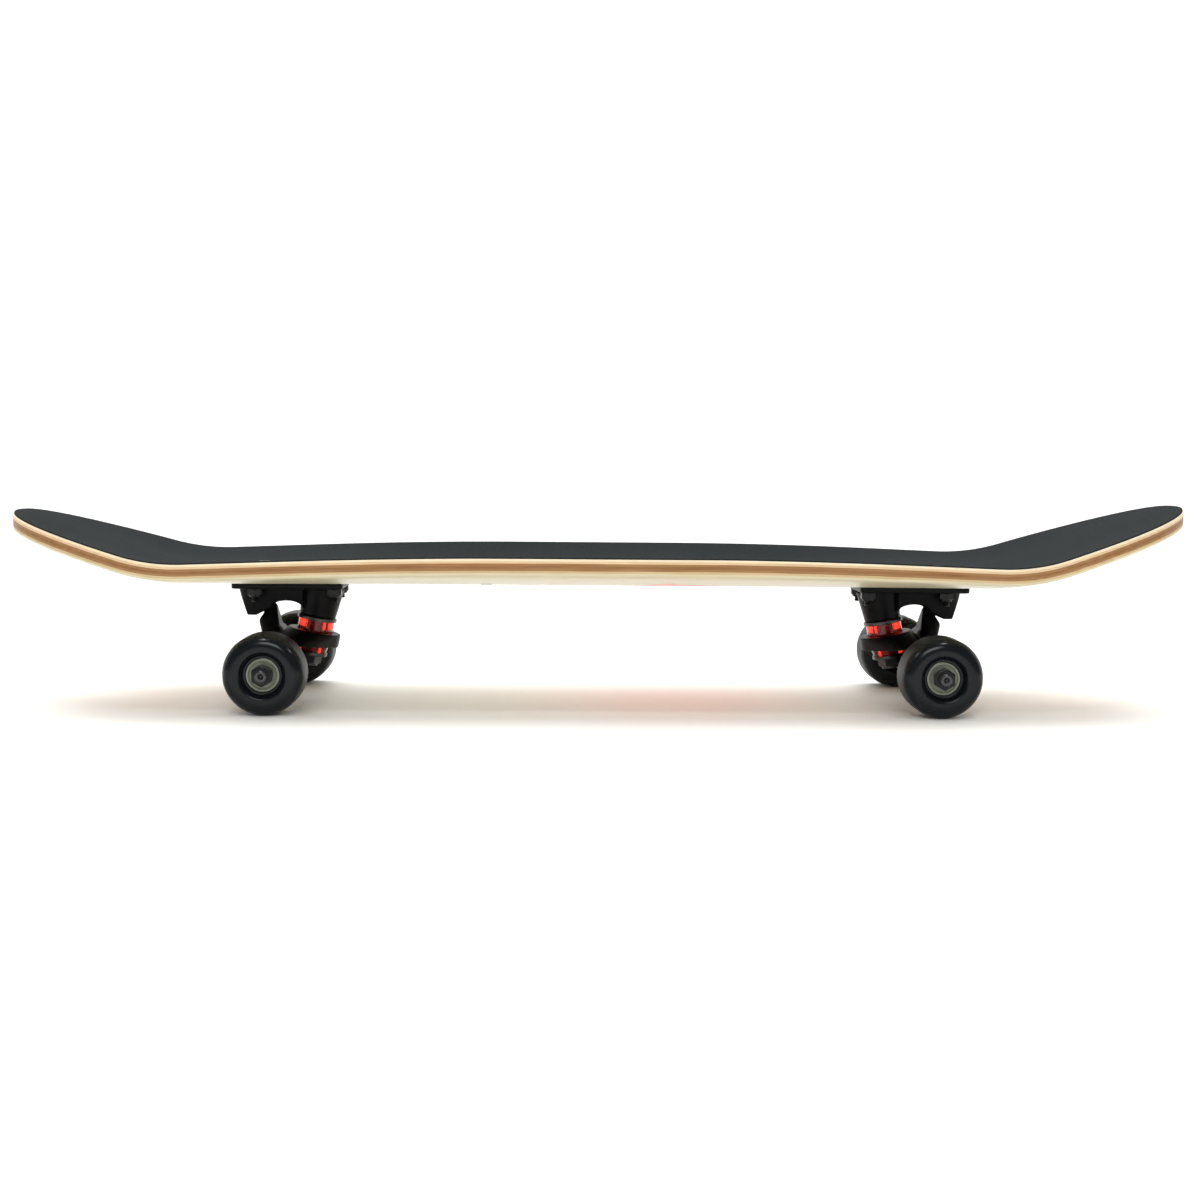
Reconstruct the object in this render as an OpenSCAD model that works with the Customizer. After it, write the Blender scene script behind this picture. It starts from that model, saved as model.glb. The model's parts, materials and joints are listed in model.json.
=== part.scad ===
// Street skateboard standing on its four wheels.
// Origin: on the ground under the middle of the deck. +X points to the nose, +Y to the
// left side and +Z up. All lengths are in millimetres.

/* [Deck] */
// Length of the deck from the tail tip to the nose tip
deck_length = 800; // [780:1:820]
// Width of the deck between the axles
deck_width = 203; // [198:1:210]
// Number of veneers in the deck
ply_count = 7; // [6:1:8]
// Thickness of one veneer
ply_thickness = 1.5; // [1.4:0.05:1.6]
// Rise of the deck's edges over the flat middle strip, half way along
concave_middle = 10.5; // [6:0.5:12]
// Rise that the edges over the middle strip would fade to a little beyond the tips
concave_ends = 0.5; // [0:0.5:5]
// Half the width of the flat strip along the middle
flat_half_width = 30; // [20:1:40]
// Upward angle of the nose
nose_angle = 20; // [16:0.5:22]
// Upward angle of the tail
tail_angle = 18.5; // [14:0.5:22]
// Distance from the middle of the deck to the start of the nose's bend
nose_bend_start = 254; // [252:1:262]
// Distance from the middle of the deck to the start of the tail's bend
tail_bend_start = 270; // [252:1:275]
// Radius of the bend below the nose and the tail
bend_radius = 145; // [120:5:200]
// Length of the rounded outline at the nose
nose_round = 152; // [140:1:158]
// Length of the rounded outline at the tail
tail_round = 147; // [140:1:158]
// Thickness of the grip tape
grip_thickness = 1.0; // [0.8:0.1:1.2]
// Strip of bare wood left around the grip tape
grip_inset = 0.8; // [0.5:0.1:2]

/* [Trucks] */
// Height of the deck's flat underside above the ground
deck_underside = 82; // [81:0.5:86]
// Distance between the inner bolt rows of the two trucks
inner_wheelbase = 365.1; // [355:0.05:370]
// Spacing of the used bolt holes along the deck
bolt_spacing_x = 53.98; // [53.5:0.01:54.5]
// Spacing of the bolt holes across the deck
bolt_spacing_y = 41.28; // [40.5:0.01:42]
// Spacing along the deck of the wider pattern that shares the plate
old_spacing_x = 63.5; // [63:0.1:64]
// Length of a baseplate
plate_length = 75.5; // [75:0.5:80]
// Width of a baseplate
plate_width = 54; // [52:0.5:57]
// Thickness of a baseplate
plate_thickness = 5; // [4.5:0.1:6]
// Distance from the middle of the plate outwards to the axle
axle_offset = 6.3; // [5:0.1:8]
// Width of a hanger, between the faces that the wheels run against
hanger_width = 133.35; // [131:0.05:136]
// Height and depth of the hanger's eight-sided bar
bar_size = 17; // [16:0.5:18]
// Length of an axle
axle_length = 203.2; // [202:0.1:206]
// Radius of an axle
axle_radius = 3.97; // [3.95:0.01:3.98]
// Lean of the kingpin from upright, its nut end outwards
kingpin_lean = 11; // [9:0.5:13]
// Angle of the steering axis above the horizontal
steer_angle = 33; // [32:0.5:34]
// Radius of a kingpin
kingpin_radius = 4.76; // [4.7:0.01:4.8]
// Outer radius of a bushing next to the deck
bushing_radius = 12.2; // [12:0.1:12.5]

/* [Wheels] */
// Diameter of a wheel
wheel_diameter = 53; // [52:0.5:54]
// Width of a wheel
wheel_width = 33; // [31:0.5:34]
// Radius of the rounded shoulders of the tread
lip_radius = 8; // [7:0.5:9]
// Outer diameter of a bearing
bearing_od = 22; // [22]
// Bore of a bearing
bearing_bore = 8; // [8]
// Width of a bearing
bearing_width = 7; // [7]
// Length of the spacer between the two bearings of a wheel
spacer_length = 10; // [10:0.1:10.3]
// Thickness of a speed washer
washer_thickness = 0.8; // [0.6:0.1:1]

/* [Hidden] */
$fn = 64;

FRONT = 1;
REAR = -1;
LEFT = 1;
RIGHT = -1;

// Cuts run this much past the faces they open, or this far where they end in the open
past = 1;
far = 60;

// Deck
deck_thickness = ply_count * ply_thickness;
half_length = deck_length / 2;
half_width = deck_width / 2;
// The rounded ends are a little narrower than the middle
end_narrowing = 2.1;
end_half_width = half_width - end_narrowing;
// Exponent of the superellipse that rounds the ends
end_roundness = 2.35;
// Distances from a tip over which the deck widens to its full width
widen_from = 120;
widen_to = 250;
// Distances from the middle over which the concave fades
fade_from = 60;
fade_to = 490;
// Steps of the outline around a quarter of an end
outline_steps = 18;
flank_step = 20;
// The curved slab is this much larger than the outline that trims it
slab_margin = 2;
kick_cells = 20;
middle_cells = 16;
side_cells = 6;

// Mounting hardware
bolt_radius = 2.4;
bolt_hole_radius = 2.6;
bolt_head_radius = 4.7;
bolt_head_rim = 0.6;
bolt_head_angle = 41;
bolt_head_sink = 0.2;
bolt_length = 25.4;
bolt_socket_flats = 3.2;
bolt_socket_depth = 2.4;
mounting_nut_flats = 9.5;
mounting_nut_height = 5.8;
mounting_nut_collar = 1.4;
// Radius of a lock nut's nylon collar as a share of the nut's flats
collar_share = 0.42;

// Trucks, in a frame of their own: +X outwards from the middle of the plate, the ground at z = 0
bolt_middle_x = inner_wheelbase / 2 + bolt_spacing_x / 2;
truck_x = bolt_middle_x + (old_spacing_x - bolt_spacing_x) / 2;
plate_bottom = deck_underside - plate_thickness;
plate_corner = 4;
axle_height = wheel_diameter / 2;
ring_center = [-14.8, 0, 42.5];
ring_radius = 18;
ring_half_height = 4.5;
ring_seat = 3;
ring_bore = 8;
seat_radius = bushing_radius + 0.25;
hexagon_turn = 30;
boardside_height = 10.5;
roadside_radius = 11.8;
roadside_end_radius = 10;
roadside_height = 8.5;
bushing_play = 0.24;
bushing_chamfer = 1;
cup_thickness = 1.2;
cup_rim = 1.4;
cup_wall = 1.2;
cup_play = 0.1;
boss_face = ring_seat + boardside_height + cup_thickness;
kingpin_head_at = 31;
kingpin_head_height = 5.5;
kingpin_flats = 14.3;
kingpin_head_play = 0.1;
kingpin_nut_height = 7;
kingpin_nut_collar = 1.6;
kingpin_nut_spare = 0.8;
kingpin_nut_at = -(ring_seat + roadside_height + cup_thickness);
// The kingpin ends a little inside its nut
kingpin_end = kingpin_nut_at - kingpin_nut_height + kingpin_nut_spare;
pivot_mouth = 39.6;
pivot_cup_length = 9;
pivot_cup_radius = 6.5;
pivot_cup_floor = 1.2;
pivot_radius = 4.5;
pivot_clearance = 0.05;
housing_radius = 11.5;
housing_middle = 24.9;
housing_draft = 7.2;
// Lowest face of the pivot housing, and the top of the arch between housing and kingpin boss
housing_bottom = 58;
housing_foot = 23;
// Round arch between the pivot housing and the kingpin boss
arch_middle = 2.5;
arch_spring = 62.8;
arch_span = 11;
arch_rise = 5.2;
arch_facets = 40;
bridge_start = -9;
bridge_overlap = 0.5;
boss_radius = 12.4;
boss_taper = 2.4;
boss_height = 21.6;
notch_width = 19;
notch_depth = 3;
window_length = 6.5;
window_width = 18;
window_edge = 1.5;

// Hanger
web_half_length = 54;
seat_reach = 11.2;
bar_chamfer = 4;
neck_reach = 33;
neck_radius = 5;
neck_tip_length = 3.9;
shoulder_x = 18.2;
shoulder_height = 53.4;
shoulder_radius = 3.8;
shoulder_width = 10;
waist_x = 13.2;
waist_height = 47;
waist_radius = 6.4;
waist_width = 20;
neck_root_x = axle_offset + 2;
neck_root_height = 38;
neck_root_radius = 9.5;
neck_root_width = 30;
wing_x = axle_offset + 2.7;
wing_height = 46;
wing_radius = 5;
wing_top_width = 18;
wing_bottom_width = 92;
pivot_tip = 42.6;

// Wheels, along their own axis outwards from the middle of the wheel
spacer_radius = 5.4;
speed_washer_radius = 5.6;
axle_play = 0.03;
bearing_in = spacer_length / 2;
bearing_out = bearing_in + bearing_width;
washer_out = bearing_out + washer_thickness;
axle_nut_height = 6.5;
axle_nut_flats = 12.7;
axle_nut_collar = 1.5;
wheel_y = hanger_width / 2 + washer_out;
axle_x = truck_x + axle_offset;
// Bore between the bearing seats, and the dished faces of a wheel
wheel_bore = 9.4;
wheel_face = bearing_out + 0.4;
wheel_face_radius = 12.6;
wheel_mouth_radius = 15.6;
race_inner_face = 9.35;
race_outer_face = 6;
ball_pitch = 7.5;
ball_radius = 1.984;
groove_radius = 2.03;
ball_count = 7;
shield_gap = 0.3;
shield_thickness = 0.35;
shield_depth = 0.25;
cage_low = -1.2;
cage_high = 2.6;
cage_inner = 6.6;
cage_outer = 8.6;
cage_play = 0.07;

wood = [0.90, 0.84, 0.66];
grip_black = [0.17, 0.18, 0.19];
truck_black = [0.06, 0.06, 0.07];
urethane_black = [0.05, 0.05, 0.06];
urethane_red = [0.80, 0.12, 0.08];
steel = [0.62, 0.63, 0.62];
dark_steel = [0.16, 0.16, 0.17];

// ---------------------------------------------------------------- deck shape

function smooth(t) = let (c = min(1, max(0, t))) c * c * (3 - 2 * c);

// Distance past the start of a bend, and the angle of that end
function past_bend(x) = max(0, x - nose_bend_start, -x - tail_bend_start);
function kick_angle(x) = x > 0 ? nose_angle : tail_angle;

// Rise of the middle line over its flat stretch, and its slope
function kick_rise(x) =
    let (d = past_bend(x), a = kick_angle(x), arc = bend_radius * sin(a))
    d <= arc
        ? bend_radius - sqrt(bend_radius * bend_radius - d * d)
        : bend_radius * (1 - cos(a)) + (d - arc) * tan(a);
function kick_slope(x) =
    let (d = past_bend(x), a = kick_angle(x))
    d <= bend_radius * sin(a) ? d / sqrt(bend_radius * bend_radius - d * d) : tan(a);

// Rise of the sides over the middle line, and its slope
function concave_depth(x) =
    concave_ends + (concave_middle - concave_ends)
        * (1 - smooth((abs(x) - fade_from) / (fade_to - fade_from)));
function side_run(y) = max(0, abs(y) - flat_half_width) / (half_width - flat_half_width);
function side_rise(x, y) = concave_depth(x) * pow(side_run(y), 2);
function side_slope(x, y) =
    2 * concave_depth(x) * side_run(y) / (half_width - flat_half_width);

// Height of a layer of the laminate, depth above the underside measured square to it
function layer_height(x, y, depth) =
    deck_underside + kick_rise(x) + side_rise(x, y)
        + depth * sqrt(1 + pow(kick_slope(x), 2) + pow(side_slope(x, y), 2));

// Half of the deck's width, at a distance from a tip
function widening(s) = (half_width - end_half_width)
    * smooth((s - widen_from) / (widen_to - widen_from));
function end_point(reach, angle) = let (e = 2 / end_roundness)
    [reach * (1 - pow(cos(angle), e)), end_half_width * pow(sin(angle), e)];
function end_outline(reach) = [
    for (k = [0 : outline_steps])
        let (p = end_point(reach, 90 * k / outline_steps)) [p[0], p[1] + widening(p[0])]
];
function flank_outline(reach) = [
    for (s = [reach + flank_step : flank_step : widen_to + 1]) [s, end_half_width + widening(s)]
];
function one_end(reach) = concat(end_outline(reach), flank_outline(reach));
function reversed(list) = [for (k = [len(list) - 1 : -1 : 0]) list[k]];
function outline() = let (nose = one_end(nose_round), tail = one_end(tail_round)) concat(
    [for (p = nose) [half_length - p[0], p[1]]],
    reversed([for (p = tail) [p[0] - half_length, p[1]]]),
    [for (p = tail) if (p[1] > 0) [p[0] - half_length, -p[1]]],
    reversed([for (p = nose) if (p[1] > 0) [half_length - p[0], -p[1]]])
);

// Grid of the curved slab: fine along the kicks, with lines along the flat strip
nose_step = (half_length + slab_margin - nose_bend_start) / kick_cells;
tail_step = (half_length + slab_margin - tail_bend_start) / kick_cells;
middle_step = (nose_bend_start + tail_bend_start) / middle_cells;
side_step = (half_width + slab_margin - flat_half_width) / side_cells;
grid_x = concat(
    [for (k = [kick_cells : -1 : 1]) -tail_bend_start - k * tail_step],
    [for (k = [0 : middle_cells]) k * middle_step - tail_bend_start],
    [for (k = [1 : kick_cells]) nose_bend_start + k * nose_step]
);
grid_y = concat(
    [for (k = [side_cells : -1 : 1]) -flat_half_width - k * side_step],
    [for (k = [-1 : 1]) k * flat_half_width],
    [for (k = [1 : side_cells]) flat_half_width + k * side_step]
);

// Slab between two layers of the laminate. Its triangles split the same way in every slab,
// so that the tape lies on the deck facet to facet.
module curved_slab(low, high) {
    nx = len(grid_x);
    ny = len(grid_y);
    count = nx * ny;
    points = [
        for (depth = [low, high])
            for (x = grid_x)
                for (y = grid_y) [x, y, layer_height(x, y, depth)]
    ];
    cells = [for (i = [0 : nx - 2]) for (j = [0 : ny - 2]) i * ny + j];
    underside = [for (c = cells) each [[c, c + ny, c + 1], [c + 1, c + ny, c + ny + 1]]];
    topside = [for (f = underside) [count + f[0], count + f[2], count + f[1]]];
    rim = concat(
        [for (i = [0 : nx - 2]) each wall(i * ny, (i + 1) * ny, count)],
        [for (j = [0 : ny - 2]) each wall((nx - 1) * ny + j, (nx - 1) * ny + j + 1, count)],
        [for (i = [nx - 1 : -1 : 1]) each wall(i * ny + ny - 1, i * ny - 1, count)],
        [for (j = [ny - 1 : -1 : 1]) each wall(j, j - 1, count)]
    );
    polyhedron(points, concat(underside, topside, rim));
}
function wall(a, b, up) = [[a, a + up, b], [b, a + up, b + up]];

module deck_outline(inset) {
    shrink_x = (half_length - inset) / half_length;
    shrink_y = (half_width - inset) / half_width;
    linear_extrude(deck_underside * 2)
        polygon([for (p = outline()) [p[0] * shrink_x, p[1] * shrink_y]]);
}

// ---------------------------------------------------------------- placing

module at_truck(end) {
    rotate([0, 0, end == FRONT ? 0 : 180]) translate([truck_x, 0, 0]) children();
}

// +Z runs up the kingpin from the middle of the hanger's ring
module along_kingpin() {
    translate(ring_center) rotate([0, -kingpin_lean, 0]) children();
}

// +Z runs up and outwards along the steering axis from the middle of the ring
module along_steering() {
    translate(ring_center) rotate([0, 90 - steer_angle, 0]) children();
}

// +Z runs outwards along the axle from the middle of the wheel
module at_wheel(end, side) {
    translate([end * axle_x, side * wheel_y, axle_height])
        rotate([-90 * side, 0, 0]) children();
}

module each_bolt(end) {
    for (i = [-1, 1])
        for (j = [-1, 1])
            translate([end * bolt_middle_x + i * bolt_spacing_x / 2, j * bolt_spacing_y / 2, 0])
                children();
}

// Cylinder across the truck, centred on y = 0
module crossways(x, z, r, length) {
    translate([x, 0, z]) rotate([90, 0, 0]) cylinder(r = r, h = length, center = true);
}

module hexagon(flats, height) {
    cylinder(d = flats / cos(30), h = height, $fn = 6);
}

// Hexagon with two flats square to the board, so that the bar clears the kingpin's nut
module kingpin_hexagon(flats, height) {
    rotate([0, 0, hexagon_turn]) hexagon(flats, height);
}

// Nut with a round nylon collar on its outer end
module lock_nut(flats, height, bore, collar) {
    difference() {
        union() {
            intersection() {
                hexagon(flats, height - collar);
                cylinder(r1 = flats / 2 + height - collar, r2 = flats / 2, h = height - collar);
            }
            cylinder(r = flats * collar_share, h = height);
        }
        translate([0, 0, -past]) cylinder(r = bore, h = height + 2 * past);
    }
}

module ring(inner, outer, low, high) {
    translate([0, 0, low]) difference() {
        cylinder(r = outer, h = high - low);
        translate([0, 0, -past]) cylinder(r = inner, h = high - low + 2 * past);
    }
}

// ---------------------------------------------------------------- deck and hardware

deck_top = deck_underside + deck_thickness;
grip_top = deck_top + grip_thickness;
head_top = grip_top - bolt_head_sink;

module bolt_head_shape() {
    cone = (bolt_head_radius - bolt_radius) / tan(bolt_head_angle);
    translate([0, 0, head_top - bolt_head_rim]) cylinder(r = bolt_head_radius, h = far);
    translate([0, 0, head_top - bolt_head_rim - cone])
        cylinder(r1 = bolt_radius, r2 = bolt_head_radius, h = cone);
}

module bolt_openings() {
    for (end = [FRONT, REAR])
        each_bolt(end) {
            translate([0, 0, deck_underside - past])
                cylinder(r = bolt_hole_radius, h = deck_thickness + 2 * past);
            bolt_head_shape();
        }
}

module deck() {
    color(wood) difference() {
        intersection() {
            curved_slab(0, deck_thickness);
            deck_outline(0);
        }
        bolt_openings();
    }
}

module grip_tape() {
    color(grip_black) difference() {
        intersection() {
            curved_slab(deck_thickness, deck_thickness + grip_thickness);
            deck_outline(grip_inset);
        }
        bolt_openings();
    }
}

module mounting_bolts(end) {
    color(dark_steel) each_bolt(end) difference() {
        union() {
            intersection() {
                bolt_head_shape();
                cylinder(r = bolt_head_radius, h = head_top);
            }
            translate([0, 0, head_top - bolt_length])
                cylinder(r = bolt_radius, h = bolt_length - bolt_head_rim);
        }
        translate([0, 0, head_top - bolt_socket_depth])
            hexagon(bolt_socket_flats, bolt_socket_depth + past);
    }
}

module mounting_nuts(end) {
    color(dark_steel) each_bolt(end)
        translate([0, 0, plate_bottom]) mirror([0, 0, 1])
            lock_nut(mounting_nut_flats, mounting_nut_height, bolt_radius, mounting_nut_collar);
}

// ---------------------------------------------------------------- trucks

module rounded_plate() {
    square([plate_length - 2 * plate_corner, plate_width], center = true);
    square([plate_length, plate_width - 2 * plate_corner], center = true);
    for (i = [-1, 1])
        for (j = [-1, 1])
            translate([i * (plate_length / 2 - plate_corner), j * (plate_width / 2 - plate_corner)])
                circle(r = plate_corner);
}

// Both patterns share the inner pair of holes
module plate_holes() {
    inner = -old_spacing_x / 2;
    for (x = [inner, inner + bolt_spacing_x, inner + old_spacing_x])
        for (j = [-1, 1])
            translate([x, j * bolt_spacing_y / 2]) circle(r = bolt_hole_radius);
}

// Side view of the casting under the plate: pivot housing, then the bridge to the kingpin
module bridge_side() {
    top = plate_bottom + bridge_overlap;
    outer = housing_middle + housing_radius;
    difference() {
        polygon([
            [outer, top], [outer - housing_draft, housing_bottom], [housing_foot, housing_bottom],
            [arch_middle + arch_span, arch_spring], [bridge_start, arch_spring], [bridge_start, top]
        ]);
        translate([arch_middle, arch_spring]) scale([arch_span, arch_rise])
            circle(r = 1, $fn = arch_facets);
    }
}

// Plan view of the same casting, round at its outer end
module bridge_plan() {
    translate([bridge_start, -housing_radius])
        square([housing_middle - bridge_start, 2 * housing_radius]);
    translate([housing_middle, 0]) circle(r = housing_radius);
}

module plate_plan() {
    difference() {
        rounded_plate();
        plate_holes();
        translate([plate_length / 2 - notch_depth, -notch_width / 2])
            square([notch_depth + past, notch_width]);
    }
}

module baseplate(end) {
    color(truck_black) at_truck(end) difference() {
        union() {
            translate([0, 0, plate_bottom]) linear_extrude(plate_thickness) plate_plan();
            intersection() {
                rotate([90, 0, 0])
                    linear_extrude(2 * housing_radius, center = true) bridge_side();
                linear_extrude(deck_underside) bridge_plan();
            }
            along_kingpin() translate([0, 0, boss_face])
                cylinder(r1 = boss_radius, r2 = boss_radius + boss_taper, h = boss_height);
        }
        along_kingpin() {
            cylinder(r = kingpin_radius, h = far);
            translate([0, 0, kingpin_head_at])
                kingpin_hexagon(kingpin_flats + kingpin_head_play, boss_height);
        }
        along_steering() translate([0, 0, pivot_mouth - pivot_cup_length])
            cylinder(r = pivot_cup_radius, h = 2 * pivot_cup_length);
        translate([window_edge - plate_length / 2, -window_width / 2, plate_bottom - past])
            cube([window_length, window_width, plate_thickness + 2 * past]);
    }
}

module pivot_cup(end) {
    color(urethane_black) at_truck(end) along_steering() translate([0, 0, pivot_mouth]) difference() {
        cylinder(r = pivot_cup_radius, h = pivot_cup_length);
        translate([0, 0, -past])
            cylinder(r = pivot_radius + pivot_clearance, h = pivot_cup_length - pivot_cup_floor + past);
    }
}

module bar_section() {
    h = bar_size / 2;
    c = h - bar_chamfer;
    polygon([[h, c], [c, h], [-c, h], [-h, c], [-h, -c], [-c, -h], [c, -h], [h, -c]]);
}

module bar(length) {
    translate([axle_offset, 0, axle_height])
        rotate([90, 0, 0]) linear_extrude(length, center = true) bar_section();
}

// Room under the ring for the lower washer and nut at full lean, up to the bar's face
module roadside_pocket() {
    intersection() {
        along_kingpin() translate([-far, -far, -ring_half_height - 2 * far])
            cube([2 * far, 2 * far, 2 * far]);
        translate([axle_offset - bar_size / 2 - far, -far, -far]) cube([far, 2 * far, 2 * far]);
    }
}

module hanger(end) {
    color(truck_black) at_truck(end) difference() {
        union() {
            bar(hanger_width);
            // Web from the bar to the ring
            hull() {
                bar(2 * web_half_length);
                along_kingpin()
                    cylinder(r = ring_radius, h = 2 * ring_half_height, center = true, $fn = 48);
            }
            // Neck up to the pivot
            hull() {
                along_steering() translate([0, 0, neck_reach])
                    cylinder(r = neck_radius, h = neck_tip_length, $fn = 32);
                crossways(shoulder_x, shoulder_height, shoulder_radius, shoulder_width, $fn = 32);
                crossways(waist_x, waist_height, waist_radius, waist_width, $fn = 32);
            }
            hull() {
                crossways(waist_x, waist_height, waist_radius, waist_width, $fn = 32);
                crossways(neck_root_x, neck_root_height, neck_root_radius, neck_root_width,
                    $fn = 32);
            }
            // Wings from the neck down to the bar
            hull() {
                crossways(wing_x, wing_height, wing_radius, wing_top_width, $fn = 32);
                bar(wing_bottom_width);
            }
            along_steering() translate([0, 0, neck_reach])
                cylinder(r = pivot_radius, h = pivot_tip - neck_reach);
            along_steering() translate([0, 0, pivot_tip]) sphere(r = pivot_radius);
        }
        crossways(axle_offset, axle_height, axle_radius, hanger_width + 2 * past);
        along_kingpin() {
            cylinder(r = ring_bore, h = 2 * ring_half_height, center = true);
            translate([0, 0, ring_seat]) cylinder(r = seat_radius, h = far);
            translate([0, 0, -ring_seat - seat_reach]) cylinder(r = seat_radius, h = seat_reach);
        }
        roadside_pocket();
    }
}

module axle(end) {
    color(steel) at_truck(end)
        crossways(axle_offset, axle_height, axle_radius, axle_length);
}

module kingpin(end) {
    color(steel) at_truck(end) along_kingpin() {
        translate([0, 0, kingpin_end])
            cylinder(r = kingpin_radius, h = kingpin_head_at - kingpin_end);
        translate([0, 0, kingpin_head_at]) kingpin_hexagon(kingpin_flats, kingpin_head_height);
    }
}

module kingpin_nut(end) {
    color(steel) at_truck(end) along_kingpin() translate([0, 0, kingpin_nut_at])
        rotate([180, 0, hexagon_turn])
            lock_nut(kingpin_flats, kingpin_nut_height, kingpin_radius, kingpin_nut_collar);
}

// Urethane barrel or cone with chamfered ends around the kingpin, standing on z = 0
module bushing(low_radius, high_radius, height) {
    bore = kingpin_radius + bushing_play;
    c = bushing_chamfer;
    rotate_extrude() polygon([
        [bore, 0], [low_radius - c, 0], [low_radius, c],
        [high_radius, height - c], [high_radius - c, height], [bore, height]
    ]);
}

module boardside_bushing(end) {
    color(urethane_red) at_truck(end) along_kingpin() translate([0, 0, ring_seat])
        bushing(bushing_radius, bushing_radius, boardside_height);
}

module roadside_bushing(end) {
    color(urethane_red) at_truck(end) along_kingpin()
        translate([0, 0, -ring_seat - roadside_height])
            bushing(roadside_end_radius, roadside_radius, roadside_height);
}

// Disc with a rim that holds the end of a bushing below it
module cup_washer(radius) {
    outer = radius + cup_play + cup_wall;
    rotate_extrude() difference() {
        translate([0, -cup_rim]) square([outer, cup_rim + cup_thickness]);
        translate([0, -cup_rim - past]) square([radius + cup_play, cup_rim + past]);
        square([2 * (kingpin_radius + cup_play), 4 * cup_thickness], center = true);
    }
}

module boardside_washer(end) {
    color(steel) at_truck(end) along_kingpin()
        translate([0, 0, ring_seat + boardside_height]) cup_washer(bushing_radius);
}

module roadside_washer(end) {
    color(steel) at_truck(end) along_kingpin()
        translate([0, 0, -ring_seat - roadside_height]) mirror([0, 0, 1])
            cup_washer(roadside_end_radius);
}

module on_both_wheels(end) {
    for (side = [LEFT, RIGHT])
        at_wheel(end, side) children();
}

module bearing_spacers(end) {
    color(steel) on_both_wheels(end)
        ring(axle_radius + axle_play, spacer_radius, -bearing_in, bearing_in);
}

module speed_washers(end) {
    color(steel) on_both_wheels(end) {
        ring(axle_radius + axle_play, speed_washer_radius, bearing_out, washer_out);
        ring(axle_radius + axle_play, speed_washer_radius, -washer_out, -bearing_out);
    }
}

module axle_nuts(end) {
    color(dark_steel) on_both_wheels(end) translate([0, 0, washer_out])
        lock_nut(axle_nut_flats, axle_nut_height, axle_radius, axle_nut_collar);
}

// ---------------------------------------------------------------- wheels

// Half of the wheel's section: radius across, distance along the axis up
module wheel_section() {
    radius = wheel_diameter / 2;
    half = wheel_width / 2;
    difference() {
        union() {
            translate([wheel_bore, -half + lip_radius])
                square([radius - wheel_bore, wheel_width - 2 * lip_radius]);
            translate([wheel_bore, -half])
                square([radius - lip_radius - wheel_bore, wheel_width]);
            for (s = [-1, 1])
                translate([radius - lip_radius, s * (half - lip_radius)]) circle(r = lip_radius);
        }
        for (s = [0, 1])
            mirror([0, s]) {
                translate([0, bearing_in]) square([bearing_od / 2, half]);
                polygon([
                    [0, wheel_face], [wheel_face_radius, wheel_face],
                    [wheel_mouth_radius, half + past], [0, half + past]
                ]);
            }
    }
}

module wheel(end, side) {
    color(urethane_black) at_wheel(end, side) rotate_extrude($fn = 96) wheel_section();
}

module each_bearing() {
    for (s = [0, 1])
        mirror([0, 0, s]) translate([0, 0, bearing_in + bearing_width / 2]) children();
}

module outer_races(end, side) {
    color(steel) at_wheel(end, side) each_bearing() rotate_extrude() difference() {
        translate([race_inner_face, -bearing_width / 2])
            square([bearing_od / 2 - race_inner_face, bearing_width]);
        translate([ball_pitch, 0]) circle(r = groove_radius);
    }
}

module inner_races(end, side) {
    color(steel) at_wheel(end, side) each_bearing() rotate_extrude() difference() {
        translate([bearing_bore / 2, -bearing_width / 2])
            square([race_outer_face - bearing_bore / 2, bearing_width]);
        translate([ball_pitch, 0]) circle(r = groove_radius);
    }
}

module bearing_shields(end, side) {
    low = bearing_width / 2 - shield_depth - shield_thickness;
    color(steel) at_wheel(end, side) each_bearing()
        for (s = [0, 1])
            mirror([0, 0, s])
                ring(race_outer_face + shield_gap, race_inner_face, low, low + shield_thickness);
}

module each_ball() {
    for (k = [0 : ball_count - 1])
        rotate([0, 0, 360 * k / ball_count]) translate([ball_pitch, 0, 0]) children();
}

module bearing_balls(end, side) {
    color(steel) at_wheel(end, side) each_bearing() each_ball() sphere(r = ball_radius);
}

module ball_cages(end, side) {
    color(steel) at_wheel(end, side) each_bearing() difference() {
        ring(cage_inner, cage_outer, cage_low, cage_high);
        each_ball() sphere(r = ball_radius + cage_play);
    }
}

// ---------------------------------------------------------------- nodes

deck();
grip_tape();
mounting_bolts(FRONT);  // front_mounting_bolts
mounting_bolts(REAR);  // rear_mounting_bolts
mounting_nuts(FRONT);  // front_mounting_nuts
mounting_nuts(REAR);  // rear_mounting_nuts
baseplate(FRONT);  // front_baseplate
baseplate(REAR);  // rear_baseplate
pivot_cup(FRONT);  // front_pivot_cup
pivot_cup(REAR);  // rear_pivot_cup
hanger(FRONT);  // front_hanger
hanger(REAR);  // rear_hanger
axle(FRONT);  // front_axle
axle(REAR);  // rear_axle
kingpin(FRONT);  // front_kingpin
kingpin(REAR);  // rear_kingpin
kingpin_nut(FRONT);  // front_kingpin_nut
kingpin_nut(REAR);  // rear_kingpin_nut
boardside_bushing(FRONT);  // front_boardside_bushing
boardside_bushing(REAR);  // rear_boardside_bushing
roadside_bushing(FRONT);  // front_roadside_bushing
roadside_bushing(REAR);  // rear_roadside_bushing
boardside_washer(FRONT);  // front_boardside_washer
boardside_washer(REAR);  // rear_boardside_washer
roadside_washer(FRONT);  // front_roadside_washer
roadside_washer(REAR);  // rear_roadside_washer
bearing_spacers(FRONT);  // front_bearing_spacers
bearing_spacers(REAR);  // rear_bearing_spacers
speed_washers(FRONT);  // front_speed_washers
speed_washers(REAR);  // rear_speed_washers
axle_nuts(FRONT);  // front_axle_nuts
axle_nuts(REAR);  // rear_axle_nuts
wheel(FRONT, LEFT);  // front_left_wheel
wheel(FRONT, RIGHT);  // front_right_wheel
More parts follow.
